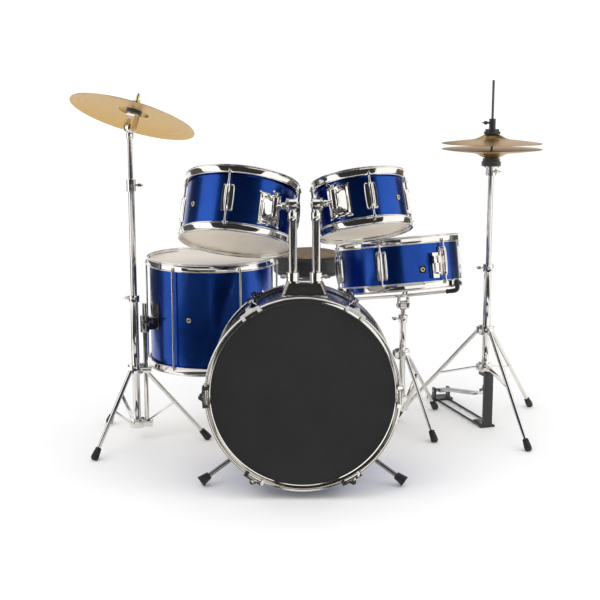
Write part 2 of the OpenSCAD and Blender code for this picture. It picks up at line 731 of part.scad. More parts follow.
module strainer_lever() color("silver") on_snare() rotate([0, 0, strainer_angle]) {
    translate([-9, -snare_r - 15, rim + 61]) rotate([0, 90, 0]) cylinder(r = 2, h = 18);
    translate([-3.5, -snare_r - 17, rim + 26]) cube([7, 4, 36.8]);
    translate([-3.5, -snare_r - 27, rim + 26]) cube([7, 11, 4]);
}

// A band of wires under the lower head, between two end plates
module snare_wires() color("silver") on_snare() {
    wires = 12;
    for (i = [0:wires - 1]) translate([-82, -16.5 + 3 * i, rim - 2.4]) rotate([0, 90, 0])
        cylinder(r = 0.7, h = 164);
    for (x = [-90, 80]) translate([x, -20, rim - 3.4]) cube([10, 40, 2]);
}

snare_tube_r = 8.3;
snare_inner_r = 6.3;
snare_clamp_z = 270;
snare_pivot_z = 314;
module snare_stand() color("silver") kit() translate(snare_stand_at) difference() {
    union() {
        translate([0, 0, 40]) cylinder(r = snare_tube_r, h = snare_clamp_z - 40);
        translate([0, 0, snare_clamp_z]) rotate([0, 0, 180]) clamp(12, 4, 18);
        tripod(snare_turn, snare_reach, snare_hub_z, 51, leg_r, stand_hub_r, snare_tube_r,
            snare_prop_share);
    }
    translate([0, 0, 100]) cylinder(r = snare_inner_r + fit, h = 300);
}

module snare_tube() color("silver") kit() translate(snare_stand_at) difference() {
    union() {
        translate([0, 0, 150]) cylinder(r = snare_inner_r, h = snare_pivot_z - 150);
        translate([-7, 0, snare_pivot_z]) rotate([0, 90, 0]) cylinder(r = 12, h = 14);
    }
    translate([-20, 0, snare_pivot_z]) rotate([0, 90, 0]) cylinder(r = 4 + fit, h = 40);
}

// A yoke on the pivot, three arms under the drum and a rubber hook at the end of each
basket_arms = [52, 172, 292];
module snare_basket() color("silver") {
    kit() translate(snare_stand_at + [0, 0, snare_pivot_z]) {
        translate([-16, 0, 0]) rotate([0, 90, 0]) cylinder(r = 4, h = 32);
        for (s = [-1, 1]) translate([s * (11 + gap) - 4, -8, -8]) cube([8, 16, 32]);
    }
    on_snare() {
        translate([0, 0, -18]) cylinder(r = 20, h = 7);
        for (a = basket_arms) rotate([0, 0, a]) {
            strut([0, -8, -14], [0, -snare_r - 22, -9], 4);
            translate([-6, -snare_r - 22, -13]) cube([12, 22, 13]);
            translate([-6, -snare_r - 22, -13]) cube([12, 11, 32]);
        }
    }
}

// ---------------------------------------------------------------- kick pedal

kick_axle_z = 178;
kick_axle_y = 42;
kick_heel_y = 232;
module kick_frame() color("dimgray") on_kick() difference() {
    union() {
        translate([-36, 13, 0]) cube([72, 247, 4]);
        translate([-14, 14, 3]) cube([28, 8, 10]);
        translate([-14, 5, 5.5]) cube([28, 12, 7.5]);
        for (s = [-1, 1]) translate([s * 36 - 5, kick_axle_y - 10, 0])
            cube([10, 20, kick_axle_z + 12]);
        for (x = [-28, 20]) translate([x, kick_heel_y - 8, 3]) cube([8, 16, 26]);
    }
    translate([-60, kick_axle_y, kick_axle_z]) rotate([0, 90, 0]) cylinder(r = 4 + fit, h = 120);
    translate([-60, kick_heel_y, 20]) rotate([0, 90, 0]) cylinder(r = 3 + fit, h = 120);
}

module kick_footboard() color("gray") on_kick() {
    slope = 13;
    translate([-29, kick_heel_y, 20]) rotate([0, 90, 0]) cylinder(r = 3, h = 58);
    translate([0, kick_heel_y, 20]) rotate([-slope, 0, 0]) translate([-19, -168, 3])
        cube([38, 166, 5]);
    translate([-18, kick_heel_y - 5, 18]) cube([36, 8, 6]);
}

// The flat link between the footboard's toe and the beater's cam
module kick_link() color("gray") on_kick()
    translate([-6, kick_axle_y + 16 + gap, 66]) cube([12, 2, kick_axle_z - 60]);

// The axle with its cam, the beater's rod and its felt head
module kick_beater() color("whitesmoke") on_kick() translate([0, kick_axle_y, kick_axle_z]) {
    translate([-41.5, 0, 0]) rotate([0, 90, 0]) cylinder(r = 4, h = 83);
    translate([-9, 0, 0]) rotate([0, 90, 0]) cylinder(r = 16, h = 18);
    rotate([-18, 0, 0]) {
        cylinder(r = 3.2, h = 96);
        translate([0, 18, 92]) rotate([90, 0, 0]) cylinder(r = 22, h = 34);
    }
}

// ---------------------------------------------------------------- throne

module throne_stand() color("silver") kit() translate(throne_at) difference() {
    union() {
        translate([0, 0, 44]) cylinder(r = 12.5, h = 216);
        translate([0, 0, 244]) rotate([0, 0, 60]) clamp(17, 4, 22);
        tripod(throne_turn, throne_reach, throne_hub_z, 58, throne_leg_r, throne_hub_r, 12.5);
    }
    translate([0, 0, 80]) cylinder(r = 9.5 + fit, h = 300);
}

throne_plate_z = seat_top - 72;
module throne_post() color("silver") kit() translate(throne_at)
    translate([0, 0, 120]) cylinder(r = 9.5, h = throne_plate_z - 8 - 120);

module throne_seat_plate() color("dimgray") kit() translate(throne_at) difference() {
    union() {
        translate([-62, -62, throne_plate_z]) cube([124, 124, 3]);
        translate([0, 0, throne_plate_z - 36]) cylinder(r = 16, h = 37);
    }
    translate([0, 0, throne_plate_z - 40]) cylinder(r = 9.5 + fit, h = 32.3);
}

// A round padded seat, domed on top
module throne_cushion() color("black") kit() translate(throne_at)
    translate([0, 0, throne_plate_z + 3.3]) rotate_extrude() polygon([
        [0, 0], [seat_r - 12, 0], [seat_r - 2, 10], [seat_r, 28], [seat_r, 44],
        [seat_r - 4, 56], [seat_r - 16, 63], [seat_r * 0.6, 67], [0, 68]
    ]);

// ---------------------------------------------------------------- nodes

bass_shell();
bass_heads();
bass_hoops();
bass_lugs();
bass_claws();
bass_spur_brackets();
tom_mount();
left_spur();
right_spur();
left_tom_post();
left_tom_shell();
left_tom_heads();
left_tom_hoops();
left_tom_lugs();
left_tom_bracket();
right_tom_post();
right_tom_shell();
right_tom_heads();
right_tom_hoops();
right_tom_lugs();
right_tom_bracket();
floor_tom_shell();
floor_tom_heads();
floor_tom_hoops();
floor_tom_rods();
floor_tom_bracket();
floor_tom_holder();
snare_shell();
snare_heads();
snare_hoops();
snare_lugs();
snare_strainer();
strainer_lever();
snare_wires();
snare_stand();
snare_tube();
snare_basket();
crash_stand();
crash_middle_tube();
crash_upper_tube();
crash_tilter();
crash_cymbal();
hat_stand();
hat_upper_tube();
hat_seat();
hat_bottom_cymbal();
hat_pull_rod();
hat_top_cymbal();
hat_clutch();
hat_pedal_frame();
hat_footboard();
kick_frame();
kick_footboard();
kick_link();
kick_beater();
throne_stand();
throne_post();
throne_seat_plate();
throne_cushion();
rubber_feet();
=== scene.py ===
import json
import math

import bmesh
import bpy
from mathutils import Matrix, Vector, noise


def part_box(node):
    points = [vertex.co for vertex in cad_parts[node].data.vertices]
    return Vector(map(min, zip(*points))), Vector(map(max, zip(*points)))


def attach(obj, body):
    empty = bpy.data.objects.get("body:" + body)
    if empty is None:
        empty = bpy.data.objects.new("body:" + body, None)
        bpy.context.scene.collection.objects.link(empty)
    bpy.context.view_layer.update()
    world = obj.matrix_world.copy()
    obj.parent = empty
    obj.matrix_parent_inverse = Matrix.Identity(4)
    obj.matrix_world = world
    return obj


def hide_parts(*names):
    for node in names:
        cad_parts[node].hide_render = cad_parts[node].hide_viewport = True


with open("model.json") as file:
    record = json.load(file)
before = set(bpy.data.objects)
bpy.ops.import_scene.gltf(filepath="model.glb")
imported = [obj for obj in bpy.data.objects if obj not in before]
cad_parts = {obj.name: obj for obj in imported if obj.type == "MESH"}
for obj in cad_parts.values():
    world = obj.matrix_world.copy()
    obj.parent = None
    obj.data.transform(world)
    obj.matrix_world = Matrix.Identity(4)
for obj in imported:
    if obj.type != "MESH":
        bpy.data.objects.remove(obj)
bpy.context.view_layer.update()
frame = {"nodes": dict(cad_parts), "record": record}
nodes = frame["nodes"]
scene = bpy.context.scene


# ---------------------------------------------------------------- small helpers

def turn(x=0.0, y=0.0, z=0.0):
    """Rotation about X, then Y, then Z, in degrees."""
    return (Matrix.Rotation(math.radians(z), 4, "Z") @ Matrix.Rotation(math.radians(y), 4, "Y")
            @ Matrix.Rotation(math.radians(x), 4, "X"))


def move(x=0.0, y=0.0, z=0.0):
    return Matrix.Translation((x, y, z))


def middle(node):
    low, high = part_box(node)
    return (low + high) / 2


# The layout's origin is on the floor under the middle of the front bass hoop, and its
# lengths are in millimetres.
ORIGIN = Vector((middle("bass_hoops").x, middle("floor_tom_holder").y - 0.412, 0))


def at(x, y, z):
    return ORIGIN + Vector((x, y, z)) / 1000


def drum_frame(shell, tilt, lean):
    """The middle of a drum, with Z along its axis."""
    return Matrix.Translation(middle(shell)) @ turn(x=-tilt, y=lean)


BODY = {node: body for body, group in frame["record"]["behaviour"]["bodies"].items()
        for node in group}

# Where each stand's foot is, and the pivots above them, in the layout's millimetres
CRASH_FOOT = (-408, 409, 0)
HAT_FOOT = (469, 542, 0)
SNARE_FOOT = (257, 552, 0)
THRONE_FOOT = (17, 920, 0)
CRASH_PIVOT = (-408, 409, 768)
SNARE_PIVOT = (257, 552, 314)
TILT_Y, TILT_Z = 150, 613

LEFT = drum_frame("left_tom_shell", 21, 6)
RIGHT = drum_frame("right_tom_shell", 18, -8)
FLOOR = drum_frame("floor_tom_shell", 0, 0)
SNARE = drum_frame("snare_shell", 9, -5)
BASS = Matrix.Translation(middle("bass_hoops")) @ turn(x=-93.75)
BASS_R = 199
BASS_RODS = (32, 91, 150, 210, 269, 328)

# The hooped drums: frame, shell radius, shell length, rod angles and lug length
DRUMS = {
    "left_tom": (LEFT, 124, 130, [-11 + 90 * i for i in range(4)], 60),
    "right_tom": (RIGHT, 99.5, 110, [11 + 90 * i for i in range(4)], 58),
    "floor_tom": (FLOOR, 152.5, 252, [29 + 60 * i for i in range(6)], None),
    "snare": (SNARE, 150, 112, [-20 + 60 * i for i in range(6)], 70),
}


def outside(drum, angle, radius, z=0.0):
    """A place on a drum in millimetres, with -Y pointing outwards."""
    return drum @ turn(z=angle) @ move(0, -radius / 1000, z / 1000)


class Shape:
    """A mesh put together from simple forms, each placed by a matrix."""

    def __init__(self):
        self.bm = bmesh.new()

    def add(self, vertices, faces, place=Matrix(), slot=0):
        made = [self.bm.verts.new(place @ Vector(v)) for v in vertices]
        for f in faces:
            face = self.bm.faces.new([made[i] for i in f])
            face.material_index = slot

    def lathe(self, profile, place=Matrix(), segments=48, slot=0, closed=False):
        """Turns (radius, height) points round Z. A radius of 0 closes the end."""
        rings, vertices, faces = [], [], []
        for r, z in profile:
            if r < 1e-7:
                rings.append([len(vertices)] * segments)
                vertices.append((0, 0, z))
            else:
                rings.append(list(range(len(vertices), len(vertices) + segments)))
                vertices += [(r * math.cos(2 * math.pi * i / segments),
                              r * math.sin(2 * math.pi * i / segments), z)
                             for i in range(segments)]
        pairs = list(zip(rings, rings[1:]))
        if closed:
            pairs.append((rings[-1], rings[0]))
        for a, b in pairs:
            for i in range(segments):
                j = (i + 1) % segments
                corners = [a[i], a[j], b[j], b[i]]
                corners = [c for k, c in enumerate(corners) if c not in corners[:k]]
                if len(corners) > 2:
                    faces.append(corners)
        self.add(vertices, faces, place, slot)

    def loft(self, sections, place=Matrix(), slot=0, cap=True):
        """Joins closed rings of points, given as lists of equal length."""
        n = len(sections[0])
        vertices = [p for s in sections for p in s]
        faces = []
        for k in range(len(sections) - 1):
            for i in range(n):
                j = (i + 1) % n
                faces.append([k * n + i, k * n + j, (k + 1) * n + j, (k + 1) * n + i])
        if cap:
            faces.append(list(range(n))[::-1])
            faces.append([(len(sections) - 1) * n + i for i in range(n)])
        self.add(vertices, faces, place, slot)

    def tube(self, points, radii, place=Matrix(), segments=16, slot=0):
        """A round bar along points; radii is one value or one for each point."""
        points = [Vector(p) for p in points]
        if not hasattr(radii, "__len__"):
            radii = [radii] * len(points)
        side = None
        sections = []
        for k, p in enumerate(points):
            ahead = points[min(k + 1, len(points) - 1)] - points[max(k - 1, 0)]
            ahead.normalize()
            if side is None:
                side = ahead.orthogonal()
            side = (side - ahead * side.dot(ahead)).normalized()
            up = ahead.cross(side)
            sections.append([p + radii[k] * (math.cos(a) * side + math.sin(a) * up)
                             for a in [2 * math.pi * i / segments for i in range(segments)]])
        self.loft(sections, place, slot)

    def block(self, size, place=Matrix(), slot=0, bevel=0.0006, segments=2):
        """A block with rounded edges, centred on the matrix's origin."""
        made = bmesh.ops.create_cube(self.bm, size=1)["verts"]
        edges = list({e for v in made for e in v.link_edges})
        for v in made:
            v.co = Vector((v.co.x * size[0], v.co.y * size[1], v.co.z * size[2]))
        r = bmesh.ops.bevel(self.bm, geom=edges, offset=bevel, segments=segments,
                            profile=0.5, affect="EDGES")
        touched = {v for f in r["faces"] for v in f.verts} | {v for v in made if v.is_valid}
        for v in touched:
            v.co = place @ v.co
        for f in {f for v in touched for f in v.link_faces}:
            f.material_index = slot

    def finish(self, name, body, materials, smooth=38, replaces=None, place=None):
        bmesh.ops.recalc_face_normals(self.bm, faces=self.bm.faces)
        mesh = bpy.data.meshes.new(name)
        self.bm.to_mesh(mesh)
        self.bm.free()
        for p in mesh.polygons:
            p.use_smooth = True
        mesh.set_sharp_from_angle(angle=math.radians(smooth))
        piece = bpy.data.objects.new(name, mesh)
        scene.collection.objects.link(piece)
        if place:
            piece.matrix_world = place
        for m in (materials if isinstance(materials, (list, tuple)) else [materials]):
            mesh.materials.append(m)
        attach(piece, body)
        if replaces:
            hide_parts(replaces)


# ---------------------------------------------------------------- materials

class Paint:
    """A node material round one Principled shader."""

    def __init__(self, name, **values):
        self.m = bpy.data.materials.new(name)
        self.m.use_nodes = True
        self.nodes = self.m.node_tree.nodes
        self.links = self.m.node_tree.links
        self.shader = self.nodes["Principled BSDF"]
        for key, value in values.items():
            self.shader.inputs[key.replace("_", " ")].default_value = value
        self.place = self.nodes.new("ShaderNodeTexCoord").outputs["Object"]

    def node(self, kind, settings=None, **inputs):
        n = self.nodes.new("ShaderNode" + kind)
        for key, value in (settings or {}).items():
            setattr(n, key, value)
        for key, value in inputs.items():
            socket = n.inputs[int(key[1:])] if key[0] == "i" and key[1:].isdigit() \
                else n.inputs[key.replace("_", " ")]
            if isinstance(value, bpy.types.NodeSocket):
                self.links.new(value, socket)
            else:
                socket.default_value = value
        return n

    def noise(self, scale, detail=3.0, distortion=0.0):
        return self.node("TexNoise", Vector=self.place, Scale=scale, Detail=detail,
                         Distortion=distortion).outputs["Fac"]

    def ramp(self, value, *stops):
        n = self.node("ValToRGB", Fac=value)
        e = n.color_ramp.elements
        while len(e) < len(stops):
            e.new(0.5)
        for k, (at, colour) in enumerate(stops):
            e[k].position = at
            e[k].color = (*colour, 1) if hasattr(colour, "__len__") else (colour,) * 3 + (1,)
        return n.outputs["Color"]

    def to(self, socket, value):
        self.links.new(value, self.shader.inputs[socket])

    def bump(self, height, strength=0.3, distance=0.001):
        n = self.node("Bump", Height=height, Strength=strength, Distance=distance)
        self.to("Normal", n.outputs["Normal"])


def blue_wrap():
    p = Paint("blue_wrap", Metallic=0.96, Coat_Weight=0.15, Coat_Roughness=0.035)
    flakes = p.node("TexVoronoi", Vector=p.place, Scale=1400.0).outputs["Color"]
    mixed = p.node("Mix", {"data_type": "FLOAT"}, Factor=0.35, i2=p.noise(7.0, 2.0),
                   i3=flakes).outputs[0]
    p.to("Base Color", p.ramp(mixed, (0.2, (0.005, 0.030, 0.21)), (0.5, (0.011, 0.062, 0.33)),
                              (0.8, (0.022, 0.098, 0.44))))
    p.to("Roughness", p.ramp(p.noise(40.0), (0.3, 0.20), (0.7, 0.27)))
    p.bump(p.noise(90.0, 2.0), 0.08, 0.0004)
    return p.m


def chrome(name="chrome", colour=(0.83, 0.80, 0.755), rough=(0.05, 0.13), wave=0.10):
    p = Paint(name, Metallic=1.0)
    p.to("Base Color", p.ramp(p.noise(18.0), (0.3, tuple(c * 0.94 for c in colour)),
                              (0.7, colour)))
    p.to("Roughness", p.ramp(p.noise(55.0, 5.0), (0.35, rough[0]), (0.7, rough[1])))
    p.bump(p.noise(26.0, 1.5), wave, 0.0008)
    return p.m


def plastic(name, dark, light, rough, grain=600.0, relief=0.15, **values):
    p = Paint(name, **values)
    p.to("Base Color", p.ramp(p.noise(30.0, 6.0), (0.3, dark), (0.7, light)))
    p.to("Roughness", p.ramp(p.noise(80.0, 4.0), (0.3, rough - 0.06), (0.7, rough + 0.08)))
    p.bump(p.noise(grain, 3.0), relief, 0.0003)
    return p.m


def felt(name, colour):
    p = Paint(name, Roughness=0.95, Sheen_Weight=0.5, Sheen_Roughness=0.6)
    p.to("Base Color", p.ramp(p.noise(400.0, 6.0), (0.3, tuple(c * 0.5 for c in colour)),
                              (0.75, colour)))
    p.bump(p.noise(900.0, 6.0, distortion=1.0), 0.7, 0.0006)
    return p.m


def drum_film(name, colour, low, high, rough=0.38):
    p = Paint(name, Specular_IOR_Level=0.5, Coat_Weight=0.15, Coat_Roughness=0.3)
    streaks = p.noise(9.0, 4.0, distortion=0.6)
    p.to("Base Color", p.ramp(streaks, (0.30, tuple(c * low for c in colour)),
                              (0.55, colour), (0.75, tuple(min(1, c * high) for c in colour))))
    p.to("Roughness", p.ramp(p.noise(120.0, 5.0), (0.3, rough - 0.06), (0.7, rough + 0.10)))
    p.bump(p.noise(1500.0, 3.0), 0.10, 0.0002)
    return p.m


def bronze(name, colour):
    """Lathed bronze: fine rings round the piece's own Z."""
    p = Paint(name, Metallic=1.0)
    flat = p.node("Mapping", Vector=p.place, Scale=(1.0, 1.0, 0.0)).outputs["Vector"]
    radius = p.node("VectorMath", {"operation": "LENGTH"}, i0=flat).outputs["Value"]
    rings = p.node("TexNoise", {"noise_dimensions": "1D"}, W=radius, Scale=900.0,
                   Detail=3.0).outputs["Fac"]
    bands = p.node("TexNoise", {"noise_dimensions": "1D"}, W=radius, Scale=110.0,
                   Detail=2.0).outputs["Fac"]
    p.to("Base Color", p.ramp(bands, (0.3, tuple(c * 0.95 for c in colour)),
                              (0.55, colour), (0.75, tuple(min(1, c * 1.04) for c in colour))))
    p.to("Roughness", p.ramp(rings, (0.3, 0.30), (0.7, 0.44)))
    p.bump(rings, 0.30, 0.0004)
    return p.m


def vinyl(name, dark, light, coat=0.12, specular=0.5):
    p = Paint(name, Coat_Weight=coat, Coat_Roughness=0.35, Specular_IOR_Level=specular)
    cells = p.node("TexVoronoi", {"feature": "DISTANCE_TO_EDGE"}, Vector=p.place,
                   Scale=520.0).outputs["Distance"]
    p.to("Base Color", p.ramp(p.noise(35.0, 5.0), (0.3, dark), (0.7, light)))
    p.to("Roughness", p.ramp(p.noise(60.0, 4.0), (0.3, 0.40), (0.7, 0.52)))
    p.bump(p.ramp(cells, (0.0, 0.0), (0.25, 1.0)), 0.35, 0.0004)
    return p.m


def two_sided_film(name, front, back, split_y):
    """The bass drum's two heads: one colour before split_y and another behind it."""
    p = Paint(name, Specular_IOR_Level=0.35)
    y = p.node("SeparateXYZ", Vector=p.place).outputs["Y"]
    behind = p.node("Math", {"operation": "GREATER_THAN"}, i0=y, i1=split_y).outputs["Value"]
    tone = p.noise(14.0, 5.0)
    a = p.ramp(tone, (0.3, tuple(c * 0.85 for c in front)), (0.7, front))
    b = p.ramp(tone, (0.3, tuple(c * 0.9 for c in back)), (0.7, back))
    p.to("Base Color", p.node("Mix", {"data_type": "RGBA"}, Factor=behind, i6=a,
                              i7=b).outputs[2])
    p.to("Roughness", p.ramp(p.noise(200.0, 4.0), (0.3, 0.52), (0.7, 0.64)))
    p.bump(p.noise(1300.0, 3.0), 0.12, 0.0002)
    return p.m


CHROME = chrome("chrome", (0.80, 0.775, 0.735))
DARK_CHROME = chrome("smoked_chrome", (0.30, 0.29, 0.28), (0.12, 0.24))
STEEL = chrome("steel_wire", (0.66, 0.66, 0.66), (0.20, 0.30), 0.05)
DARK_STEEL = chrome("dark_rod", (0.16, 0.15, 0.14), (0.22, 0.34), 0.05)
BROWN_STEEL = chrome("hoop_inlay", (0.20, 0.17, 0.15), (0.22, 0.34), 0.05)
BLUE = blue_wrap()
BLACK_PAINT = plastic("black_paint", (0.012, 0.011, 0.011), (0.028, 0.026, 0.025), 0.34)
RUBBER = plastic("black_rubber", (0.008, 0.008, 0.008), (0.020, 0.019, 0.019), 0.62, 500.0, 0.3)
BLACK_FELT = felt("black_felt", (0.022, 0.022, 0.022))
WHITE_FELT = felt("white_felt", (0.75, 0.73, 0.68))
GOLD = chrome("grommet_gold", (0.86, 0.72, 0.42), (0.12, 0.22), 0.05)
RESONANT = drum_film("resonant_film", (0.97, 0.86, 0.68), 0.93, 1.03)
BATTER = drum_film("batter_film", (0.80, 0.735, 0.66), 0.94, 1.04, 0.5)
CRASH = bronze("crash_bronze", (0.60, 0.385, 0.125))
HATS = bronze("hat_bronze", (0.44, 0.265, 0.085))
PAD = plastic("mount_pad", (0.010, 0.009, 0.009), (0.022, 0.020, 0.019), 0.60,
              Specular_IOR_Level=0.12)
BRUSHED = chrome("pedal_metal", (0.56, 0.56, 0.56), (0.24, 0.40), 0.12)
# The black vinyl's top panel gets a lighter brown colour. This is painted sheen: the light that the top
# of the seat catches.
SEAT_TOP_PAINTED_SHEEN = vinyl("seat_top_painted_sheen_vinyl", (0.145, 0.098, 0.062), (0.20, 0.14, 0.09), 0.02, 0.15)
SEAT_SIDE = vinyl("seat_side_vinyl", (0.010, 0.009, 0.008), (0.022, 0.020, 0.018))
BASS_FILM = two_sided_film("bass_film", (0.016, 0.016, 0.016), (0.72, 0.69, 0.64),
                           middle("bass_shell").y)


def soften(node, paint, angle=34, bevel=0.0):
    """Smooth shading and the material for a CAD node; its own vertices stay as they are."""
    o = nodes[node]
    mesh = o.data
    if "custom_normal" in mesh.attributes:
        mesh.attributes.remove(mesh.attributes["custom_normal"])
    for p in mesh.polygons:
        p.use_smooth = True
        p.material_index = 0
    weld = o.modifiers.new("weld", "WELD")
    weld.merge_threshold = 2e-6
    if bevel:
        b = o.modifiers.new("edges", "BEVEL")
        b.width = bevel
        b.segments = 2
        b.limit_method = "ANGLE"
        b.angle_limit = math.radians(angle)
        b.use_clamp_overlap = True
    split = o.modifiers.new("split", "EDGE_SPLIT")
    split.split_angle = math.radians(angle)
    split.use_edge_sharp = False
    mesh.materials.clear()
    mesh.materials.append(paint)


def recolour(node, paint, test):
    """Gives the polygons whose middle passes the test a second material."""
    mesh = nodes[node].data
    mesh.materials.append(paint)
    for p in mesh.polygons:
        if test(p.center):
            p.material_index = len(mesh.materials) - 1


FINISH = {
    "chrome": CHROME, "blue_wrap": BLUE, "black_head": BASS_FILM, "head_film": RESONANT,
    "steel_wire": STEEL, "bronze": CRASH, "black_metal": BLACK_PAINT, "pedal_metal": BRUSHED,
    "black_felt": BLACK_FELT, "black_vinyl": SEAT_SIDE, "black_rubber": RUBBER,
}
BEVELLED = {
    "bass_claws": 0.0006, "bass_spur_brackets": 0.0005, "tom_mount": 0.0008,
    "floor_tom_bracket": 0.0008, "snare_stand": 0.0004, "crash_stand": 0.0004,
    "hat_stand": 0.0004, "hat_pedal_frame": 0.0006, "kick_frame": 0.0006,
    "throne_stand": 0.0004, "snare_strainer": 0.0006, "strainer_lever": 0.0005,
    "hat_seat": 0.0008, "hat_clutch": 0.0006, "kick_footboard": 0.0006,
    "hat_footboard": 0.0006, "throne_seat_plate": 0.0006, "left_tom_post": 0.0004,
    "right_tom_post": 0.0004, "crash_upper_tube": 0.0004,
}
for part in frame["record"]["subparts"]:
    soften(part["node"], FINISH[part["material_slot"]],
           bevel=BEVELLED.get(part["node"], 0.0))
for name, paint in (("floor_tom_heads", BATTER), ("snare_heads", BATTER),
                    ("floor_tom_bracket", DARK_CHROME), ("hat_pull_rod", DARK_STEEL),
                    ("left_spur", DARK_CHROME), ("right_spur", DARK_CHROME)):
    nodes[name].data.materials[0] = paint


def in_bass_recess(c):
    q = BASS.inverted() @ c
    return math.hypot(q.x, q.y) > 0.2069 and 0.1068 < abs(q.z) < 0.1406


# The hoops' middle is the middle of the drum, so the recess is at the same distance on
# both sides of it.
recolour("bass_hoops", BROWN_STEEL, in_bass_recess)


def spur_foot(side):
    """True for the rubber end of a spur: anything further from its axis than the rod."""
    axis = (Matrix.Translation(at(0, 0, 226.7)) @ turn(x=-93.75) @ turn(z=side * 138)
            @ move(0, -0.199, 0.118) @ turn(x=90) @ turn(x=15) @ turn(y=-side * 13)).inverted()

    def test(c):
        q = axis @ c
        return q.z > 0.088 and (math.hypot(q.x, q.y) > 0.0054 or q.z > 0.1135)
    return test


recolour("left_spur", RUBBER, spur_foot(-1))
recolour("right_spur", RUBBER, spur_foot(1))
beater_head = (Matrix.Translation(at(0, 308, 178)) @ turn(x=-18)).inverted()
recolour("kick_beater", WHITE_FELT,
         lambda c: (beater_head @ c).z > 0.069 and abs((beater_head @ c).y) < 0.03
         and math.hypot((beater_head @ c).x, (beater_head @ c).z) > 0.0695)
CRASH_TOP = Matrix.Translation(at(*CRASH_PIVOT)) @ turn(z=-39) @ turn(x=-22.6)
crash_axes = CRASH_TOP.inverted()
recolour("crash_tilter", BLACK_FELT, lambda c: 0.0325 < (crash_axes @ c).z < 0.0567
         and math.hypot((crash_axes @ c).x, (crash_axes @ c).y) > 0.0095)
recolour("crash_tilter", GOLD, lambda c: (crash_axes @ c).z > 0.0567)

# ---------------------------------------------------------------- cymbals


def cymbal(name, place, outline, paint, node):
    """A cymbal on axes of its own, so that its lathed rings run round its middle. The
    outline is its top face, from the hole to the edge, in metres."""
    thickness = 0.0011
    under = [(r, z - thickness) for r, z in reversed(outline)]
    s = Shape()
    s.lathe(outline + under, segments=160, closed=True)
    s.finish(name, BODY[node], paint, 40, node, place)


def bowed_outline(radius, bell_r, bell_h, bow, hole):
    """A round bell on a skirt that bows down to the edge."""
    bell = [(hole + (bell_r - hole) * math.sin(math.radians(90 * i / 12)),
             bow + bell_h * math.cos(math.radians(90 * i / 12))) for i in range(13)]
    skirt = [(bell_r + (radius - bell_r) * u, bow * (1 - u * u))
             for u in [i / 26 for i in range(1, 27)]]
    return bell + skirt


# The hi-hat's bells flare into their skirts without an edge
HAT_OUTLINE = [(r / 1000, z / 1000) for r, z in (
    (6, 22), (10, 21.9), (14, 21.5), (18, 20.7), (21, 19.7), (24, 18.2), (27, 16.4),
    (30, 14.8), (34, 12.8), (38, 11.3), (44, 9.7), (50, 8.7), (60, 7.6), (75, 6.1),
    (90, 4.4), (105, 2.5), (115, 1.2), (123, 0))]
HAT = Matrix.Translation(at(*HAT_FOOT))
cymbal("crash_lathed", CRASH_TOP @ move(z=0.026) @ turn(z=39),
       bowed_outline(0.151, 0.036, 0.009, 0.013, 0.006), CRASH, "crash_cymbal")
cymbal("hat_bottom_lathed", HAT @ move(z=0.7093) @ turn(x=180), HAT_OUTLINE, HATS,
       "hat_bottom_cymbal")
cymbal("hat_top_lathed", HAT @ move(z=0.7243), HAT_OUTLINE, HATS, "hat_top_cymbal")

# ---------------------------------------------------------------- drum hoops, lugs and trim

RIM = 10.0
ROD_OUT = 9.6


def hoops(name, drum, r, d, angles, body, node):
    """Both triple-flanged hoops of a drum, rolled from sheet, with their ears."""
    profile = [
        (8.1, -10.0), (8.5, -9.6), (8.5, -8.7), (8.1, -8.2), (7.2, -8.0), (6.5, -7.6),
        (6.05, -6.8), (5.8, -5.4), (5.6, -2.5), (5.5, 1.2), (5.6, 4.4), (5.9, 6.0),
        (6.5, 6.9), (7.3, 7.4), (7.9, 7.8), (8.15, 8.5), (8.1, 9.2), (7.6, 9.8), (6.8, 10.0),
        (5.2, 10.0), (4.4, 9.7), (3.9, 9.1), (3.7, 8.2), (3.7, 3.0), (3.2, 2.7), (1.2, 2.6),
        (1.0, 0.9), (3.7, 0.8), (3.7, -9.4), (4.2, -10.0)]
    s = Shape()
    for side in (1, -1):
        place = drum @ move(z=side * d / 2000) @ (turn(x=180) if side < 0 else Matrix())
        s.lathe([((r + a) / 1000, z / 1000) for a, z in profile], place, 128, closed=True)
        for angle in angles:
            out = r + ROD_OUT
            plan = [(-9.5, -(r + 5.6)), (-7.6, -(r + 8.3))]
            plan += [(5.3 * math.sin(math.radians(a)), -out - 5.3 * math.cos(math.radians(a)))
                     for a in range(-75, 76, 15)]
            plan += [(7.6, -(r + 8.3)), (9.5, -(r + 5.6))]
            levels = [(-10.2, 0.96), (-9.9, 1.0), (-8.4, 1.0), (-8.1, 0.96)]
            rings = [[(x * k / 1000, (-(r + 5.6) + (y + r + 5.6) * k) / 1000, z / 1000)
                      for x, y in plan] for z, k in levels]
            s.loft(rings, place @ turn(z=side * angle))
    return s.finish(name, body, CHROME, 42, node)


def lug_outline(scale, depth):
    """Half of a fluted casing's outline, mirrored to the other side."""
    half = [(-14.3, 1.2), (-14.3, -3.6), (-13.6, -5.6), (-12.4, -6.8), (-11.0, -6.6),
            (-9.7, -5.4), (-8.4, -4.7), (-7.1, -5.0), (-6.0, -7.0), (-5.2, -9.8),
            (-4.2, -12.6), (-2.6, -15.0), (-0.9, -15.8)]
    points = half + [(-x, y) for x, y in reversed(half)]
    return [(x * scale, y * (depth if y < 0 else 1)) for x, y in points]


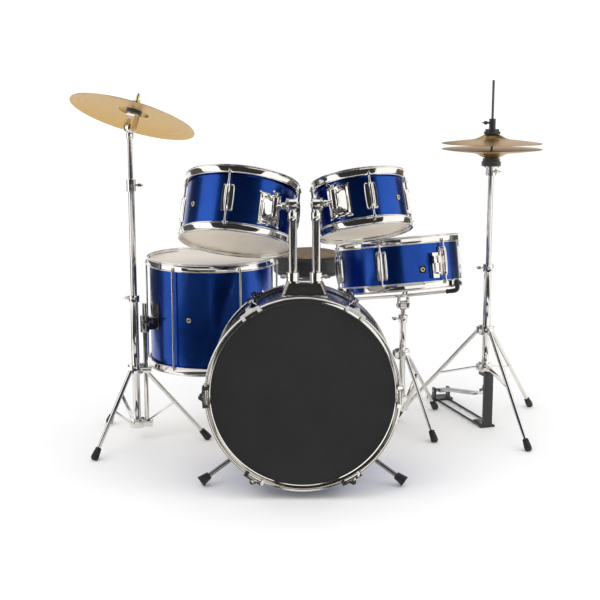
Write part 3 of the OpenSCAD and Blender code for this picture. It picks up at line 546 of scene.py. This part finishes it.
def lugs(name, drum, r, d, angles, length, body, node):
    """Lug casings with a tension rod from each end to the hoop's ear."""
    s = Shape()
    for angle in angles:
        place = outside(drum, angle, r)
        rings = []
        for t in (-1.0, -0.985, -0.95, -0.86, -0.6, -0.3, 0, 0.3, 0.6, 0.86, 0.95, 0.985, 1.0):
            end = max(0.0, (abs(t) - 0.8) / 0.2)
            scale = (0.90 + 0.10 * math.cos(t * math.pi / 2)) * (1 - 0.10 * end ** 3)
            depth = (0.88 + 0.12 * math.cos(t * math.pi / 2)) * (1 - 0.22 * end ** 3)
            rings.append([(x / 1000, y / 1000, t * length / 2000)
                          for x, y in lug_outline(scale, depth)])
        s.loft(rings, place)
        for side in (1, -1):
            rod = place @ move(y=-ROD_OUT / 1000) @ (turn(x=180) if side < 0 else Matrix())
            z0 = length / 2 - 4
            z1 = d / 2 - 10 + 2.1
            s.lathe([(0, z0 / 1000), (0.0036, z0 / 1000), (0.0036, (length / 2 + 1.2) / 1000),
                     (0.0030, (length / 2 + 2.0) / 1000), (0.0023, (length / 2 + 2.2) / 1000),
                     (0.0023, z1 / 1000), (0.0047, z1 / 1000), (0.0047, (z1 + 0.8) / 1000),
                     (0.0034, (z1 + 1.1) / 1000), (0.0034, (z1 + 3.0) / 1000),
                     (0.0028, (z1 + 3.5) / 1000), (0, (z1 + 3.5) / 1000)], rod, 20)
            s.block((0.0042, 0.0042, 0.0040), rod @ move(z=(z1 + 5.2) / 1000), bevel=0.0004)
    return s.finish(name, body, CHROME, 30, node)


for name, (drum, r, d, rods, lug_length) in DRUMS.items():
    hoops(name + "_rolled_hoops", drum, r, d, rods, BODY[name + "_hoops"], name + "_hoops")
for name, (drum, r, d, rods, lug_length) in DRUMS.items():
    if lug_length:
        lugs(name + "_fluted_lugs", drum, r, d, rods, lug_length, BODY[name + "_lugs"],
             name + "_lugs")

# The bass drum's lugs are taller boxes with the same flutes, round the claws' rods
s = Shape()
for angle in BASS_RODS:
    half = [(-8.8, 1.0), (-8.8, -7.0), (-8.2, -9.4), (-7.0, -10.6), (-6.0, -11.2), (-5.6, -13.4),
            (-5.4, -17.0), (-4.4, -19.2), (-2.4, -20.2), (-0.6, -20.4)]
    rings = []
    for t in (-1.0, -0.98, -0.93, -0.8, -0.4, 0, 0.4, 0.8, 0.93, 0.98, 1.0):
        k = 1 - 0.10 * max(0.0, (abs(t) - 0.7) / 0.3) ** 3
        rings.append([(x * k / 1000, y * (k if y < 0 else 1) / 1000, t * 0.033)
                      for x, y in half + [(-x, y) for x, y in reversed(half)]])
    s.loft(rings, outside(BASS, angle, BASS_R))
s.finish("bass_fluted_lugs", BODY["bass_lugs"], CHROME, 30, "bass_lugs")


def grommet(shape, drum, angle, r, z):
    """A flanged air vent: a turned ring, with a black cup in its bore that is painted shade for the dark
    inside of the hole.
    """
    place = outside(drum, angle, r, z) @ turn(x=90)
    shape.lathe([(0.0028, 0.0020), (0.0030, 0.0026), (0.0036, 0.0029), (0.0046, 0.0027),
                 (0.0055, 0.0020), (0.0059, 0.0010), (0.0059, -0.0004)], place, 36)
    # Slot 1 is the black cup in the bore. It is painted shade for the dark inside of the drum.
    shape.lathe([(0.0028, 0.0020), (0.0026, 0.0004), (0, 0.0002)], place, 36, slot=1)


for name, drum, angle, r, z, body in (
        ("left_tom_vent", LEFT, -54.8, 124, -8.8, "left_tom_shell"),
        ("right_tom_vent", RIGHT, 52.9, 99.5, -3.4, "right_tom_shell"),
        ("floor_tom_vent", FLOOR, -16.8, 152.5, -0.2, "floor_tom_shell")):
    s = Shape()
    grommet(s, drum, angle, r, z)
    # The second material is the bore's painted shade.
    s.finish(name, BODY[body], [GOLD, BLACK_PAINT], 40)
s = Shape()
s.block((0.016, 0.017, 0.0016), outside(SNARE, 17.5, 150.2, -16.5) @ turn(x=90), 1, 0.0005)
grommet(s, SNARE, 17.5, 150.9, -16.5)
# Slot 1 holds the badge's dark plate and the vent's bore. On the bore, the dark colour is painted shade.
s.finish("snare_badge", BODY["snare_shell"], [GOLD, PAD], 40)

# ---------------------------------------------------------------- tom brackets and mount


def wing(shape, place, shank=0.006, slot=0):
    """A wing bolt along +Z of its place: shank, turned boss and two shaped wings."""
    shape.lathe([(0, -0.001), (0.0024, -0.001), (0.0024, shank), (0.0042, shank + 0.0003),
                 (0.0046, shank + 0.001), (0.0046, shank + 0.0055), (0.0040, shank + 0.0068),
                 (0.0018, shank + 0.0074), (0, shank + 0.0075)], place, 24, slot)
    for side in (-1, 1):
        outline = [(0.003, 0.000), (0.0075, 0.0022), (0.0118, 0.0052), (0.0126, 0.0080),
                   (0.0112, 0.0102), (0.0080, 0.0102), (0.0048, 0.0078), (0.003, 0.0062)]
        rings = [[(side * x, y, shank + 0.0008 + z) for x, z in outline]
                 for y in (-0.0014, -0.0010, 0.0010, 0.0014)]
        mid = Vector((0.0078, 0, shank + 0.006))
        for k, ring in enumerate(rings):
            if k in (0, 3):
                rings[k] = [(side * (mid.x + (abs(p[0]) - mid.x) * 0.86), p[1],
                             mid.z + (p[2] - mid.z) * 0.86) for p in ring]
        shape.loft(rings, place, slot)


def plate(shape, drum, angle, r, width, height, z, centre):
    """A pressed plate that follows the shell, with a raised border and a dished middle."""
    nu, nv = 25, 31
    vertices, faces = [], []
    for side in (0, 1):
        for j in range(nv):
            v = -1 + 2 * j / (nv - 1)
            for i in range(nu):
                u = -1 + 2 * i / (nu - 1)
                edge = min((1 - abs(u)) * width / 2, (1 - abs(v)) * height / 2)
                if side:
                    lift = 0.1
                elif edge < 1.2:
                    lift = 1.0 + 1.7 * math.sin(math.pi / 2 * edge / 1.2)
                elif edge < 4.5:
                    lift = 2.7
                elif edge < 7.5:
                    lift = 2.7 - 1.3 * (0.5 - 0.5 * math.cos(math.pi * (edge - 4.5) / 3.0))
                else:
                    lift = 1.4
                a = u * width / 2 / r
                vertices.append(((r + lift) * math.sin(a) / 1000,
                                 (r - (r + lift) * math.cos(a)) / 1000,
                                 v * height / 2000))
    n = nu * nv
    for j in range(nv - 1):
        for i in range(nu - 1):
            k = j * nu + i
            faces.append([k, k + 1, k + nu + 1, k + nu])
            faces.append([n + k, n + k + nu, n + k + nu + 1, n + k + 1])
    edge = ([i for i in range(nu)] + [j * nu + nu - 1 for j in range(1, nv)]
            + [(nv - 1) * nu + i for i in range(nu - 2, -1, -1)]
            + [j * nu for j in range(nv - 2, 0, -1)])
    for a, b in zip(edge, edge[1:] + edge[:1]):
        faces.append([a, n + a, n + b, b])
    place = outside(drum, angle, r, z)
    shape.add(vertices, faces, place)
    for cx, cz in ((-1, -1), (1, -1), (-1, 1), (1, 1)):
        a = cx * (width / 2 - 5.5) / r
        screw = outside(drum, angle + math.degrees(a), r + 1.6, z + cz * (height / 2 - 5.5))
        shape.lathe([(0.0030, 0.0), (0.0029, 0.0012), (0.0020, 0.0019), (0.0009, 0.0020),
                     (0, 0.0014)], screw @ turn(x=90), 18)
    # The pressed housing narrows from the plate to the sleeve that takes the arm
    rings = []
    for out, w, h in ((1.2, 40, 52), (4.0, 37, 50), (9.0, 30, 44), (14.0, 26, 38),
                      (19.0, 23, 35), (22.5, 21, 33), (24.0, 17, 29)):
        ring = []
        for q in range(32):
            a = 2 * math.pi * q / 32
            c, e = math.cos(a), math.sin(a)
            ring.append((w / 2 * math.copysign(abs(c) ** 0.35, c) / 1000, -out / 1000,
                         (h / 2 * math.copysign(abs(e) ** 0.35, e) + centre) / 1000))
        rings.append(ring)
    shape.loft(rings, place)
    sleeve = outside(drum, angle, r + 20, z + centre)
    shape.lathe([(0, -0.0206), (0.0068, -0.0206), (0.0078, -0.0200), (0.0085, -0.0190),
                 (0.0085, -0.0150), (0.0081, -0.0146), (0.0081, -0.0138), (0.0085, -0.0134),
                 (0.0085, 0.0180), (0.0081, 0.0184), (0.0081, 0.0192), (0.0085, 0.0196),
                 (0.0085, 0.0228), (0.0074, 0.0240), (0, 0.0240)], sleeve, 40)
    wing(shape, sleeve @ move(z=0.0238) @ turn(z=25), 0.0035)


def ratchet(shape, place, r=0.0150, thickness=0.006, teeth=30):
    """A toothed tilt disc with a chamfer, centred on its place, with Z as its axis."""
    rings = []
    for z, k in ((-thickness / 2, 0.90), (-thickness / 2 + 0.0008, 1.0),
                 (thickness / 2 - 0.0008, 1.0), (thickness / 2, 0.90)):
        rings.append([(r * k * (1.0 if i % 4 in (1, 2) else 0.925)
                       * math.cos(2 * math.pi * i / (teeth * 4)),
                       r * k * (1.0 if i % 4 in (1, 2) else 0.925)
                       * math.sin(2 * math.pi * i / (teeth * 4)), z)
                      for i in range(teeth * 4)])
    shape.loft(rings, place)


def tilt_arm(shape, x, side, boss):
    """Pin, toothed disc, key bolt and the collared arm from a post to the boss."""
    pivot = Matrix.Translation(at(x, TILT_Y, TILT_Z)) @ turn(y=90 * side)
    shape.lathe([(0, -0.0125), (0.0040, -0.0125), (0.0040, 0.0130), (0, 0.0130)], pivot, 24)
    ratchet(shape, pivot @ move(z=0.0113))
    shape.lathe([(0, 0.0140), (0.0092, 0.0140), (0.0092, 0.0152), (0.0078, 0.0160),
                 (0, 0.0160)], pivot, 32)
    shape.lathe([(0, -0.0084), (0.0066, -0.0084), (0.0070, -0.0089), (0.0070, -0.0116),
                 (0.0060, -0.0123), (0.0034, -0.0123), (0.0030, -0.0108), (0, -0.0108)],
                pivot, 6)
    a = at(x + side * 12, TILT_Y, TILT_Z)
    b = at(*boss)
    along = (b - a)
    length = along.length
    radii = [(0.00, 5.2), (0.06, 6.0), (0.18, 6.0), (0.20, 7.6), (0.24, 8.0), (0.36, 8.0),
             (0.40, 7.6), (0.42, 5.6), (0.62, 5.6), (0.64, 6.0), (1.0, 6.0)]
    shape.tube([a + along * t for t, _ in radii], [k / 1000 for _, k in radii], segments=28)


for name, drum, angle, r, drop, x, side, boss, node in (
        ("left_tom_pressed_bracket", LEFT, 34, 124, -12, -21.5, -1, (-60.3, 163.2, 603.6),
         "left_tom_bracket"),
        ("right_tom_pressed_bracket", RIGHT, -31, 99.5, 0, 29.5, 1, (67.9, 156.7, 621.3),
         "right_tom_bracket")):
    s = Shape()
    plate(s, drum, angle, r, 59, 74, drop, 0)
    tilt_arm(s, x, side, boss)
    s.finish(name, BODY[node], CHROME, 33, node)

# A dark pad is let into the sloped face of the tom mount
s = Shape()
low, high = Vector((0, 54, 428)), Vector((0, 118, 447))
up = (high - low).normalized()
proud = Vector((0, -up.z, up.y))
rings = []
for lift, inset in ((0.1, 0.0), (1.1, 0.0), (1.5, 0.5)):
    ring = []
    for t, half in ((0.10, 42.5), (0.92, 33.5)):
        t2 = t + (inset if t < 0.5 else -inset) / 66
        p = low + (high - low) * t2 + proud * lift
        ring.append([at(4 - half + inset, p.y, p.z), at(4 + half - inset, p.y, p.z)])
    rings.append([ring[0][0], ring[0][1], ring[1][1], ring[1][0]])
s.loft(rings)
front = []
for lift, inset in ((0.1, 0.0), (0.9, 0.0), (1.2, 0.4)):
    front.append([at(4 - 43 + inset, 54 - lift, 426 - inset), at(4 + 43 - inset, 54 - lift, 426 - inset),
                  at(4 + 44 - inset, 54 - lift, 414 + inset), at(4 - 44 + inset, 54 - lift, 414 + inset)])
s.loft(front)
s.finish("tom_mount_pad", BODY["tom_mount"], PAD, 30)

# ---------------------------------------------------------------- snare basket

s = Shape()
pivot = Matrix.Translation(at(*SNARE_PIVOT))
s.lathe([(0, -0.0160), (0.0036, -0.0160), (0.0040, -0.0155), (0.0040, 0.0155),
         (0.0036, 0.0160), (0, 0.0160)], pivot @ turn(y=90), 24)
for side in (-1, 1):
    s.block((0.008, 0.016, 0.032), pivot @ move(side * 0.0113, 0, 0.008), bevel=0.0018,
            segments=3)
    s.lathe([(0, 0), (0.0060, 0), (0.0060, 0.0016), (0.0050, 0.0024), (0, 0.0024)],
            pivot @ move(side * 0.0150) @ turn(y=90 * side), 6)
base = -(RIM + DRUMS["snare"][2] / 2)
s.lathe([(r / 1000, (base + z) / 1000) for r, z in
         ((0, -18), (17.5, -18), (19.4, -17.3), (20, -16), (20, -13), (19.4, -11.7),
          (17.5, -11), (0, -11))], SNARE, 48)
for angle in (52, 172, 292):
    arm = SNARE @ turn(z=angle) @ move(z=base / 1000)
    s.tube([(0, -0.008, -0.014), (0, -0.060, -0.0127), (0, -0.120, -0.0108),
            (0, -0.156, -0.0096)], 0.004, arm, 20)
    hook = [(0, -138, -10.2), (0, -150, -9.8), (0, -158, -9.2), (0, -163, -7.4),
            (0, -165.6, -3.6), (0, -166.2, 2), (0, -166.2, 8), (0, -166.0, 14), (0, -165.6, 18.6)]
    s.tube([Vector(p) / 1000 for p in hook],
           [0.0050, 0.0056, 0.0058, 0.0058, 0.0058, 0.0058, 0.0057, 0.0056, 0.0050], arm, 20, 1)
    s.lathe([(0.0046, 0.1345), (0.0058, 0.1350), (0.0062, 0.1362), (0.0058, 0.1374),
             (0.0050, 0.1380)], arm @ move(z=-0.0152) @ turn(x=90.0 - 2.0), 20, 1)
s.finish("snare_bent_basket", BODY["snare_basket"], [CHROME, RUBBER], 33,
         "snare_basket")

# ---------------------------------------------------------------- rubber boots


def cut_flat(shape):
    """Trims everything below the floor, and closes the cut."""
    geom = shape.bm.verts[:] + shape.bm.edges[:] + shape.bm.faces[:]
    cut = bmesh.ops.bisect_plane(shape.bm, geom=geom, plane_co=(0, 0, 0), plane_no=(0, 0, -1),
                                 clear_outer=True)
    edges = [e for e in cut["geom_cut"] if isinstance(e, bmesh.types.BMEdge)]
    bmesh.ops.holes_fill(shape.bm, edges=edges, sides=0)


# The tripods: foot, heading of the first leg, reach, hub's height and radius, leg's radius
TRIPODS = ((CRASH_FOOT, -27.5, 180, 184, 22, 5), (HAT_FOOT, 18.8, 237, 252, 22, 5),
           (SNARE_FOOT, 23.3, 179, 187, 22, 5), (THRONE_FOOT, 0, 165, 175, 26, 6))
ANKLE_Z = 13

s = Shape()
for where, heading, reach, hub_z, hub_r, leg in TRIPODS:
    for i in range(3):
        place = Matrix.Translation(at(*where)) @ turn(z=heading + 120 * i)
        start, end = Vector((0, -hub_r + 3, hub_z)), Vector((0, -reach + 12, ANKLE_Z))
        along = (end - start).normalized()
        profile = [(-16.3, leg + 0.1), (-16.0, leg + 1.6), (-14.8, leg + 2.4), (-12.6, leg + 2.4),
                   (-11.8, leg + 1.8), (-11.0, leg + 2.6), (-8.6, leg + 2.8), (-7.8, leg + 2.2),
                   (-7.0, leg + 3.0), (-2.0, leg + 3.5), (4.0, leg + 4.0), (9.0, leg + 4.0),
                   (12.5, leg + 3.2), (14.0, leg + 1.4)]
        s.tube([(end + along * t) / 1000 for t, _ in profile],
               [k / 1000 for _, k in profile], place, 28)
cut_flat(s)
s.finish("ribbed_rubber_feet", BODY["rubber_feet"], RUBBER, 50, "rubber_feet")

# ---------------------------------------------------------------- pedal treads

kick_board = (Matrix.Translation(at(0, 266 + 232, 20)) @ turn(x=-13))
s = Shape()
for k in range(11):
    s.block((0.030, 0.0034, 0.0014), kick_board @ move(0, (-160 + 14 * k) / 1000, 0.0084),
            bevel=0.0005)
s.block((0.0375, 0.005, 0.0030), kick_board @ move(0, -0.1645, 0.0090), bevel=0.0008)
s.finish("kick_tread_ribs", BODY["kick_footboard"], BRUSHED, 40)

hat_slope = math.degrees(math.atan2(72 - 26, 262 - 30))
hat_board = HAT @ turn(z=18) @ move(0, 0.262, 0.026) @ turn(x=-hat_slope)
s = Shape()
for k in range(11):
    s.block((0.027, 0.0034, 0.0014), hat_board @ move(0, (-205 + 16 * k) / 1000, 0.0074),
            bevel=0.0005)
s.finish("hat_tread_ribs", BODY["hat_footboard"], BRUSHED, 40)

# ---------------------------------------------------------------- throne cushion


def cushion():
    """A round seat: an inflated top panel and boxing, with piping along both seams."""
    low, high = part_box("throne_cushion")
    centre = Vector(((low.x + high.x) / 2, (low.y + high.y) / 2, low.z))
    r, h = (high.x - low.x) / 2, high.z - low.z
    start = Shape()
    start.lathe([(r * a, h * b) for a, b in (
        (0, 0.0), (0.86, 0.0), (0.925, 0.05), (0.950, 0.16), (0.955, 0.45), (0.950, 0.72),
        (0.925, 0.83), (0.86, 0.89), (0.70, 0.925), (0.35, 0.945), (0, 0.95))], segments=96)
    bmesh.ops.recalc_face_normals(start.bm, faces=start.bm.faces)
    mesh = bpy.data.meshes.new("throne_padding")
    start.bm.to_mesh(mesh)
    start.bm.free()
    o = bpy.data.objects.new("throne_padding", mesh)
    scene.collection.objects.link(o)
    grid = o.modifiers.new("grid", "REMESH")
    grid.mode = "VOXEL"
    grid.voxel_size = 0.005

    def apply():
        graph = bpy.context.evaluated_depsgraph_get()
        graph.update()
        fresh = bpy.data.meshes.new_from_object(o.evaluated_get(graph))
        o.modifiers.clear()
        o.data = fresh

    apply()
    held = o.vertex_groups.new(name="held")
    held.add([v.index for v in o.data.vertices if v.co.z < 0.003], 1.0, "ADD")
    before = [v.co.copy() for v in o.data.vertices]
    cloth = o.modifiers.new("cloth", "CLOTH")
    cloth.settings.quality = 6
    cloth.settings.use_pressure = True
    cloth.settings.uniform_pressure_force = 4.0
    cloth.settings.vertex_group_mass = "held"
    cloth.settings.effector_weights.gravity = 0.0
    cloth.point_cache.frame_start = 1
    cloth.point_cache.frame_end = 20
    for f in range(1, 21):
        scene.frame_set(f)
    apply()
    for v, b in zip(o.data.vertices, before):
        step = v.co - b
        if step.length > 0.006:
            v.co = b + step * (0.006 / step.length)
    scene.frame_set(1)
    finer = o.modifiers.new("finer", "SUBSURF")
    finer.levels = finer.render_levels = 1
    apply()
    o.vertex_groups.clear()
    mesh = o.data
    seams = (h * 0.135, h * 0.80)
    for v in mesh.vertices:
        a = math.atan2(v.co.y, v.co.x)
        out = math.hypot(v.co.x, v.co.y)
        if out > r * 0.5:
            for seam in seams:
                near = (v.co.z - seam) / 0.0035
                pull = 0.0018 * math.exp(-near * near)
                v.co.x -= pull * math.cos(a)
                v.co.y -= pull * math.sin(a)
            # Small gathers run up to the top seam on both sides of it
            reach = math.exp(-((v.co.z - seams[1]) / 0.009) ** 2)
            gather = 0.00035 * reach * math.sin(a * 46 + 1.3 * math.sin(a * 5))
            v.co.x += gather * math.cos(a)
            v.co.y += gather * math.sin(a)
        v.co.z += 0.0005 * noise.noise(Vector((v.co.x * 28, v.co.y * 28, 3.1))) * min(
            1.0, v.co.z / h)
        v.co.z = min(max(v.co.z, 0.0), h)
    mesh.materials.clear()
    mesh.materials.append(SEAT_SIDE)
    mesh.materials.append(SEAT_TOP_PAINTED_SHEEN)
    # Faces above the top seam take the painted sheen colour, and the rest are plain black vinyl.
    for p in mesh.polygons:
        p.use_smooth = True
        p.material_index = 1 if p.center.z > seams[1] else 0
    o.matrix_world = Matrix.Translation(centre)
    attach(o, BODY["throne_cushion"])
    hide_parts("throne_cushion")

    # Piping lies in each seam, at the surface's own radius
    rims = []
    for seam in seams:
        band = {}
        for v in mesh.vertices:
            if abs(v.co.z - seam) < 0.004 and math.hypot(v.co.x, v.co.y) > r * 0.6:
                key = int((math.atan2(v.co.y, v.co.x) / (2 * math.pi) % 1) * 48)
                band.setdefault(key, []).append(math.hypot(v.co.x, v.co.y))
        rims.append(max(sum(b) / len(b) for b in band.values()))
    piping = Shape()
    for seam, rim in zip(seams, rims):
        piping.lathe([(rim + 0.0004 + 0.0017 * math.cos(a), seam + 0.0017 * math.sin(a))
                      for a in [2 * math.pi * k / 10 for k in range(10)]],
                     Matrix.Translation(centre), 120, closed=True)
    piping.finish("throne_piping", BODY["throne_cushion"], SEAT_SIDE, 60)
    return rims


cushion()

# ---------------------------------------------------------------- camera, light and floor

camera = bpy.data.objects.new("camera", bpy.data.cameras.new("camera"))
scene.collection.objects.link(camera)
CAMERA_PITCH = 10.66
camera.data.lens = 70.92
camera.data.sensor_width = 36.0
camera.location = at(-6, -2406, 884)
camera.rotation_euler = (math.radians(90 - CAMERA_PITCH), 0, 0)
scene.camera = camera
scene.view_settings.view_transform = "Standard"

world = bpy.data.worlds.new("studio")
world.use_nodes = True
world.node_tree.nodes["Background"].inputs["Color"].default_value = (1, 1, 1, 1)
world.node_tree.nodes["Background"].inputs["Strength"].default_value = 1.06
scene.world = world


def lamp(name, at, look, size, power):
    light = bpy.data.lights.new(name, "AREA")
    light.energy = power
    light.size = size
    o = bpy.data.objects.new(name, light)
    scene.collection.objects.link(o)
    o.location = at
    o.rotation_euler = (Vector(look) - Vector(at)).to_track_quat("-Z", "Y").to_euler()
    o.visible_glossy = False
    return o


lamp("key", (-1.6, -2.2, 2.6), (0, 0, 0.4), 1.6, 16)
lamp("fill", (2.0, -1.6, 1.9), (0, 0, 0.4), 1.4, 8)
lamp("low_fill", (0.0, -2.8, 0.35), (0, 0, 0.5), 1.6, 10)

floor_mesh = bpy.data.meshes.new("floor")
half = 12.0
floor_mesh.from_pydata([(-half, -half, 0), (half, -half, 0), (half, half, 0),
                        (-half, half, 0)], [], [(0, 1, 2, 3)])
floor = bpy.data.objects.new("floor", floor_mesh)
floor.location.z = -0.0004
scene.collection.objects.link(floor)
pale = Paint("pale_floor", Roughness=0.85, Specular_IOR_Level=0.15)
pale.to("Base Color", pale.ramp(pale.noise(3.0), (0.3, (0.95, 0.95, 0.95)),
                                (0.7, (0.97, 0.97, 0.97))))
floor_mesh.materials.append(pale.m)


def card(name, vertices, faces, brightness):
    """A studio card that is seen only in reflections."""
    mesh = bpy.data.meshes.new(name)
    mesh.from_pydata(vertices, [], faces)
    m = bpy.data.materials.new(name)
    m.use_nodes = True
    m.node_tree.nodes.clear()
    glow = m.node_tree.nodes.new("ShaderNodeEmission")
    glow.inputs["Strength"].default_value = brightness
    out = m.node_tree.nodes.new("ShaderNodeOutputMaterial")
    m.node_tree.links.new(glow.outputs[0], out.inputs[0])
    mesh.materials.append(m)
    o = bpy.data.objects.new(name, mesh)
    scene.collection.objects.link(o)
    o.visible_camera = False
    o.visible_diffuse = False
    o.visible_shadow = False
    o.visible_transmission = False


def curved_card(name, a0, a1, e0, e1, distance, brightness):
    n, m = 12, 6
    vertices, faces = [], []
    for j in range(m + 1):
        e = math.radians(e0 + (e1 - e0) * j / m)
        for i in range(n + 1):
            a = math.radians(a0 + (a1 - a0) * i / n)
            vertices.append((distance * math.cos(e) * math.sin(a),
                             -distance * math.cos(e) * math.cos(a),
                             max(0.001, 0.35 + distance * math.sin(e))))
    for j in range(m):
        for i in range(n):
            k = j * (n + 1) + i
            faces.append((k, k + 1, k + n + 2, k + n + 1))
    card(name, vertices, faces, brightness)


def floor_card(name, x0, x1, y0, y1, brightness):
    card(name, [(x0, y0, 0.002), (x1, y0, 0.002), (x1, y1, 0.002), (x0, y1, 0.002)],
         [(0, 1, 2, 3)], brightness)


curved_card("flag_front", -52, 44, -6, 64, 3.4, 0.035)
curved_card("strip_left", -92, -52, -6, 76, 3.3, 1.5)
curved_card("strip_right", 44, 108, -6, 76, 3.3, 1.3)
curved_card("flag_left", -128, -92, -6, 64, 3.2, 0.10)
curved_card("flag_right", 108, 150, -6, 64, 3.2, 0.10)
curved_card("strip_front", 6, 46, 2, 19, 3.0, 1.2)
curved_card("strip_low", -40, 40, -6, -1, 3.3, 0.8)
curved_card("flag_back", 168, 192, -6, 30, 3.2, 0.10)
floor_card("flag_floor", -1.9, 1.9, -1.5, -0.62, 0.05)
floor_card("flag_floor_far", -1.9, 1.9, -3.3, -2.2, 0.05)
floor_card("flag_floor_tom", -1.9, -0.22, -2.2, -1.5, 0.05)
floor_card("flag_floor_left", -3.6, -1.3, 0.1, 2.4, 0.10)
floor_card("flag_floor_back", -0.3, 0.6, 1.3, 3.4, 0.12)
